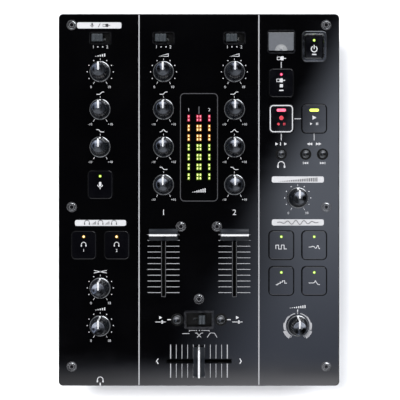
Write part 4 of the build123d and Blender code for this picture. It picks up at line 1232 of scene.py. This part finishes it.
# %% [markdown]
# ## Knob scales
# Level controls have a dot at every 30 degrees and a stroke at each end and in the middle. Tone controls have only
# the three strokes. The depth control has a ring that grows from thin to thick. Plain figures stand at the ends.


# %% Knob scales
def strokes_at(sheet, x, y, angles, first, last, thick):
    """Radial strokes round a knob."""
    for angle in angles:
        turn = math.radians(angle)
        ends = [(x + r * math.sin(turn), y + r * math.cos(turn)) for r in (first, last)]
        stroke(sheet, ends, thick)


LABEL_UP = {"level": 13.0, "trim": 13.0, "mix": 12.6, "high": 12.7, "mid": 12.7, "low": 12.7}
END_ANGLE = 150
scale_sheet = new_sheet()
for node in knob_nodes:
    x, y = centre(node)
    kind = node.split("_")[1]
    strokes_at(scale_sheet, x, y, (-END_ANGLE, END_ANGLE), 8.9, 10.8, 0.36)
    strokes_at(scale_sheet, x, y, (0,), 9.0, 10.4, 0.34)
    if kind in ("level", "trim", "mix"):
        for angle in (-120, -90, -60, -30, 30, 60, 90, 120):
            disc(scale_sheet, *arc(x, y, 10.1, angle, angle, 1)[0], 0.42, 12)
        digits(scale_sheet, "0", x - 7.2, y - 11.7, 1.9)
        digits(scale_sheet, "10", x + 7.2, y - 11.7, 1.9)
    elif kind != "depth":
        digits(scale_sheet, "-10", x - 7.8, y - 11.5, 1.7)
        digits(scale_sheet, "+10", x + 7.8, y - 11.5, 1.7)
        tone_curve(scale_sheet, x, y + LABEL_UP[kind], 6.0, 1.8, CURVES[kind])
    if kind == "level" and node != "master_level_knob":
        rising_bars(scale_sheet, x, y + LABEL_UP[kind], 8.5, 2.2)
    if kind == "trim":
        wedge(scale_sheet, x, y + LABEL_UP[kind], 7.4, 2.0)
    if kind == "mix":
        stroke(scale_sheet, [(x - 5, y + 11.6), (x + 5, y + 13.6)], 0.5)
        stroke(scale_sheet, [(x - 5, y + 13.6), (x + 5, y + 11.6)], 0.5)
panel_print(scale_sheet, "knob_scales", ink_white)

depth_x, depth_y = centre("effect_depth_knob")
sheet = new_sheet()
for side in (-1, 1):
    for first, last, thick in ((12, 45, 0.7), (45, 78, 1.1), (78, 110, 1.9), (112, 146, 3.0)):
        radius = 9.2 + thick / 2
        stroke(sheet, arc(depth_x, depth_y, radius, side * first, side * last, 10), thick)
panel_print(sheet, "depth_ring", ink_soft)
print("scales round", len(knob_nodes), "knobs")

# %% [markdown]
# ## Signs on the panel
# The rest of the print marks the inputs, the channels, the faders and the sockets. All of it is one sheet, because a
# screen print is laid down in one pass for each colour.

# %% Signs on the panel
sheet = new_sheet()
for node, places in (("mic_input_switch", -76.6), ("ch1_input_switch", -CHANNEL_X), ("ch2_input_switch", CHANNEL_X)):
    switch_y = centre(node)[1] - 6.8
    for side, figure in ((-1, "1"), (1, "2")):
        disc(sheet, places + side * 1.9, switch_y, 0.5, 12)
        digits(sheet, figure, places + side * 5.4, switch_y, 2.2)
for side, figure in ((-1, "1"), (1, "2")):
    digits(sheet, figure, side * CHANNEL_X, -9.6, 4.2)
    digits(sheet, figure, side * 8.0, meter_y + 29.2, 2.3)
    chevron = [(side * 31.6, cross_y + 2), (side * 32.9, cross_y), (side * 31.6, cross_y - 2)]
    stroke(sheet, chevron, 0.7)
    stroke(sheet, [(side * 21.2, curve_y), (side * 24.6, curve_y)], 0.7)
    triangle(sheet, side * 29.8, curve_y + 1.6, 2.6)
    stroke(sheet, [(side * 29.8 - 4, curve_y - 1.8), (side * 29.8 + 4, curve_y - 1.8)], 0.5)
    panel_box(sheet, side * 29.8 + 1.2, curve_y - 1.8, 1.2, 2.4)
rising_bars(sheet, 0, meter_y - 33.4, 11, 3.2, 7)
headphones(sheet, record_x, 27.2, 6.0)
skip(sheet, play_x - 6.55, 28.6, 1.9, -1)
skip(sheet, play_x + 6.55, 28.6, 1.9, 1)
triangle(sheet, record_x - 3.6, 43.4, 2.4)
panel_box(sheet, record_x - 0.6, 43.4, 0.7, 2.6)
triangle(sheet, record_x + 3.2, 43.4, 2.4)
for way in (-1, 1):
    triangle(sheet, play_x + way * 2.4, 43.4, 2.4, way)
    triangle(sheet, play_x + way * 4.4, 43.4, 2.4, way)
plug_sign(sheet, usb_x, usb_y - 12.9, 6.2)
headphones(sheet, phones_x, -139.6, 5.2)
panel_box(sheet, phones_x, -143.0, 1.0, 2.2)
rising_bars(sheet, depth_x, depth_y + 14.7, 13, 2.4, 8)
stroke(sheet, [(depth_x, depth_y + 12.4), (depth_x, depth_y + 8.9)], 0.7)
panel_print(sheet, "panel_signs", ink_white)

# %% [markdown]
# The faders have eleven ticks on each side of their slots, over the whole travel of the cap. A grey line, a painted
# highlight, edges the slots of the channel faders, and a black line, a painted shade, edges the crossfader's slot.
# Signs for its three curves stand behind it.

# %% Fader ticks and crossfader marks
FADER_TRAVEL = 45.0
CROSS_HALF = 22.0
THIN_TICK, BOLD_TICK = 0.42, 0.75
fader_rear = centre("ch1_fader")[1]

sheet = new_sheet()
for side in (-1, 1):
    for i in range(11):
        y = fader_rear - i * FADER_TRAVEL / 10
        for end in (-1, 1):
            stroke(sheet, [(side * CHANNEL_X + end * 2.1, y), (side * CHANNEL_X + end * 12.4, y)], THIN_TICK)
panel_print(sheet, "fader_ticks", ink_soft)
sheet = new_sheet()
for i in range(11):
    x = (i / 5 - 1) * CROSS_HALF
    thick = BOLD_TICK if i in (0, 5, 10) else THIN_TICK
    for end in (-1, 1):
        stroke(sheet, [(x, cross_y + end * 2.0), (x, cross_y + end * 12.8)], thick)
panel_print(sheet, "crossfader_ticks", ink_soft)

# Painted highlight: a grey line round each channel fader slot; painted shade: a black line round the crossfader slot.
sheet = new_sheet()
slot_middle = fader_rear - FADER_TRAVEL / 2
for side in (-1, 1):
    edge = box_outline(side * CHANNEL_X, slot_middle, 3.1, FADER_TRAVEL + 6.5, 0.5)
    stroke(sheet, edge, 0.24, closed=True)
panel_print(sheet, "slot_painted_highlights", painted_highlight_grey)
sheet = new_sheet()
stroke(sheet, box_outline(0, cross_y, 2 * CROSS_HALF + 6.6, 3.2, 0.5), 0.4, closed=True)
panel_print(sheet, "cross_slot_painted_shade", painted_shade_black)

sheet = new_sheet()
mark_y = curve_y - 8.4
for x in (-2.0, 0.3, 2.4):
    disc(sheet, x, mark_y, 0.45, 12)
stroke(sheet, [(-2.9, mark_y), (-7.6, mark_y), (-7.6, mark_y - 1)], 0.45)
stroke(sheet, [(3.3, mark_y), (8.0, mark_y), (8.0, mark_y - 1)], 0.45)
sign_y = mark_y - 3.6
stroke(sheet, [(-13, sign_y + 1.2), (-7.4, sign_y + 1.2)], 0.5)
stroke(sheet, [(-2.9, sign_y + 1.6), (-1.6, sign_y + 1.6), (0.0, sign_y), (1.7, sign_y - 1.8)], 0.5)
stroke(sheet, [(3.1, sign_y + 1.6), (1.8, sign_y + 1.6), (0.2, sign_y), (-1.5, sign_y - 1.8)], 0.5)
stroke(sheet, [(6.4, sign_y - 1.8), (8.6, sign_y + 1.6), (12.0, sign_y + 1.6), (14.0, sign_y - 1.8)], 0.5)
panel_print(sheet, "curve_signs", ink_soft)
print("fader prints made")

# %% [markdown]
# ## Title strips
# Each group of controls carries a white strip with a dark sign. The sign is a second print on top of the first.

# %% Title strips
titles = [(-77.4, 135.4, 34.5, 4.8), (-76.4, -17.9, 39.7, 4.6), (76.7, 15.8, 40.4, 4.8), (76.7, -17.5, 40.4, 4.8)]
sheet = new_sheet()
for x, y, wide, deep in titles:
    panel_box(sheet, x, y, wide, deep, 1.4)
panel_print(sheet, "title_strips", ink_strip)

sheet = new_sheet()
(mic_x, mic_y), (ear_x, ear_y), (master_x, master_y), (effect_x, effect_y) = [title[:2] for title in titles]
microphone(sheet, mic_x - 5.5, mic_y, 3.8)
stroke(sheet, [(mic_x - 0.8, mic_y - 1.5), (mic_x + 0.8, mic_y + 1.5)], 0.5)
plug_sign(sheet, mic_x + 5.5, mic_y, 5.2)
for step in (-10.5, 0, 10.5):
    headphones(sheet, ear_x + step, ear_y + 0.2, 4.4)
for step in (-5.2, 5.2):
    rising_bars(sheet, ear_x + step, ear_y, 3.6, 2.6, 4)
rising_bars(sheet, master_x, master_y, 31, 3.2, 22)
waves = [(i / 60, 0.5 + 0.5 * math.sin(i / 60 * math.tau * 5) * math.sin(i / 60 * math.pi)) for i in range(61)]
wave(sheet, effect_x, effect_y, 32, 3.2, waves, 0.55)
panel_print(sheet, "title_signs", ink_dark, INK)
print("titles", len(titles))

# %% [markdown]
# ## Signs on the buttons
# A sign on a cap moves with that cap, so each is a print of its own that rides on the button's body.


# %% Signs on the buttons
def cap_print(node, material, draw, name="sign"):
    """Draw a sign round the middle of a button's cap and print it there."""
    x, y = centre(node)
    cap_top = (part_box(node)[1].z - panel_top) / MM
    sheet = new_sheet()
    draw(sheet)
    return print_on(sheet, f"{node}_{name}", node, "button", material, x, y, cap_top)


def mic_sign(sheet):
    microphone(sheet, 0, -0.6, 5.6)


def stop_sign(sheet):
    plug_sign(sheet, -0.6, 2.0, 6.0)
    panel_box(sheet, 0, -2.2, 2.4, 2.4)
    panel_box(sheet, 0, -5.8, 3.2, 0.9)


def record_sign(sheet):
    disc(sheet, 0, 0.6, 1.7)
    disc(sheet, -2.2, -4.2, 1.0)
    pause(sheet, 2.2, -4.2, 1.9)


def play_sign(sheet):
    triangle(sheet, 0, 0.8, 3.4)
    triangle(sheet, -2.4, -4.0, 2.0)
    pause(sheet, 2.2, -4.0, 1.9)


def power_sign(sheet):
    stroke(sheet, arc(0, -1.9, 2.25, 28, 332, 24), 0.75)
    stroke(sheet, [(0, -1.9), (0, 1.2)], 0.75)
    panel_box(sheet, 0, -6.1, 3.3, 1.0)


cap_print("mic_on_button", ink_white, mic_sign)
cap_print("usb_stop_button", ink_white, stop_sign)
cap_print("record_button", ink_red, record_sign)
cap_print("play_button", ink_white, play_sign)
cap_print("power_button", ink_white, power_sign)


def lit_outline(sheet):
    stroke(sheet, box_outline(0, 0, 17.2, 20.3, 2.5), 0.8, closed=True)


cap_print("record_button", ink_strip, lit_outline, "outline")
for node, figure in (("ch1_cue_button", "1"), ("ch2_cue_button", "2")):
    cap_print(node, ink_white, lambda sheet, figure=figure: (headphones(sheet, 0, 0.6, 4.2),
                                                            digits(sheet, figure, 0, -4.0, 2.2)))
for name, points in WAVES.items():
    cap_print(name + "_button", ink_white, lambda sheet, points=points: wave(sheet, 0, -1.4, 8.6, 3.0, points, 0.5))
print("caps printed")

# %% [markdown]
# ## Painted shade, painted highlights and bright cores
# Every square button sits in a matt black line, a painted shade for the gap round its cap, which shows where the gloss
# panel turns pale. A thin grey ring on the rim of each screw dimple is a painted highlight, and so is the ring on the
# face of the screw, round a black cross that is painted shade over its recess.

# %% Painted shade round the buttons, painted highlights and shade on the screws
# Painted shade: a matt black line round each square cap stands for the shaded gap between cap and panel.
sheet = new_sheet()
for node in guides:
    x, y = centre(node)
    low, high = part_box(node)
    wide, deep = (high.x - low.x) / MM - 2.4, (high.y - low.y) / MM - 2.4
    if node != "power_button":
        stroke(sheet, box_outline(x, y, wide + 0.95, deep + 0.95, 3.5), 0.45, closed=True)
panel_print(sheet, "button_gap_painted_shade", painted_shade_black)

head_top = (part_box("screws")[1].z - panel_top) / MM
screw_spots = sorted({(round((low.x + high.x) / 2, 1), round((low.y + high.y) / 2, 1))
                      for _, low, high in solids_of(nodes["screws"].data) if high.z > panel_top / MM})
# Painted highlights: grey rings on the rim of each dimple and on each head; painted shade: a black cross over each
# recess.
sheet, head_highlight_sheet, cross_shade_sheet = new_sheet(), new_sheet(), new_sheet()
for x, y in screw_spots:
    x, y = x - panel_x / MM, y - panel_y / MM
    stroke(sheet, arc(x, y, 3.7, 0, 360, 32)[:-1], 0.26, closed=True)
    stroke(head_highlight_sheet, arc(x, y, 1.75, 0, 360, 24)[:-1], 0.5, closed=True)
    for way in (-1, 1):
        stroke(cross_shade_sheet, [(x - 0.9, y + way * 0.9), (x + 0.9, y - way * 0.9)], 0.5)
panel_print(sheet, "dimple_rim_painted_highlights", painted_highlight_grey)
panel_print(head_highlight_sheet, "screw_head_painted_highlights", painted_highlight_grey, head_top, "screw")
panel_print(cross_shade_sheet, "screw_cross_painted_shade", painted_shade_black, head_top, "screw")
print("screws", len(screw_spots), "heads", round(head_top, 2), "mm above the panel")

# %% [markdown]
# The light guides and the meter lamps are brightest right over their chips, so each gets a small bright core on its
# face. A core is a print in a glowing ink. It is set by the box of its lens.

# %% Cores of the light guides
CORE_RADIUS = 0.62
core_colours = {guide_green: core_green, guide_amber: core_cream, guide_red: core_red}
for node, guide in guides.items():
    if guide not in core_colours:
        continue
    lens_low, lens_high = next((low, high) for _, low, high in solids_of(nodes[node].data) if high.z - low.z < 3)
    x, y = centre(node)
    lens_y = (lens_low.y + lens_high.y) / 2 - panel_y / MM
    sheet = new_sheet()
    disc(sheet, 0, lens_y - y, CORE_RADIUS, 16)
    core_height = lens_high.z - panel_top / MM
    print_on(sheet, node + "_core", node, "lamp", core_colours[guide], x, y, core_height)
print("cores for", len(core_colours), "colours")

# %% [markdown]
# A lamp of the meter is smaller, so its core is a short upright bar. The rule that dressed the lamps also sorts them
# here, which keeps each core the colour of its lamp.

# %% Cores of the meter lamps
meter_cores = {lamp_red: core_red, lamp_amber: core_amber, lamp_green: core_green}
for rim, core in meter_cores.items():
    sheet = new_sheet()
    for low, high in meter_lamps:
        if meter_rule(low, high) is rim:
            panel_box(sheet, (low.x + high.x) / 2, (low.y + high.y) / 2 - panel_y / MM, 0.95, 1.5, 0.3)
    print_on(sheet, core.name + "_meter", "meter_leds", "lamp", core, height=meter_lamps[0][1].z - panel_top / MM)
print("meter cores made")

# %% [markdown]
# ## Floor
# One very large sheet with rounded corners stands in for the studio floor, so that its far edge stays out of sight
# from low angles. It isn't part of the desk.

# %% Floor
FLOOR_SIZE, FLOOR_CORNER = 60000, 4000

floor_shape = bmesh.new()
fill(floor_shape, box_outline(0, 0, FLOOR_SIZE, FLOOR_SIZE, FLOOR_CORNER))
floor = bpy.data.objects.new("floor", as_mesh("floor_sheet", floor_shape))
bpy.context.scene.collection.objects.link(floor)
floor.data.materials.append(finish("floor_paper", (0.80, 0.80, 0.81), 0.7, size=2.0, depth=0.01, wear=0.0,
                                   dusty=0.0, shade=0.99, specular=0.2))
print("floor laid")
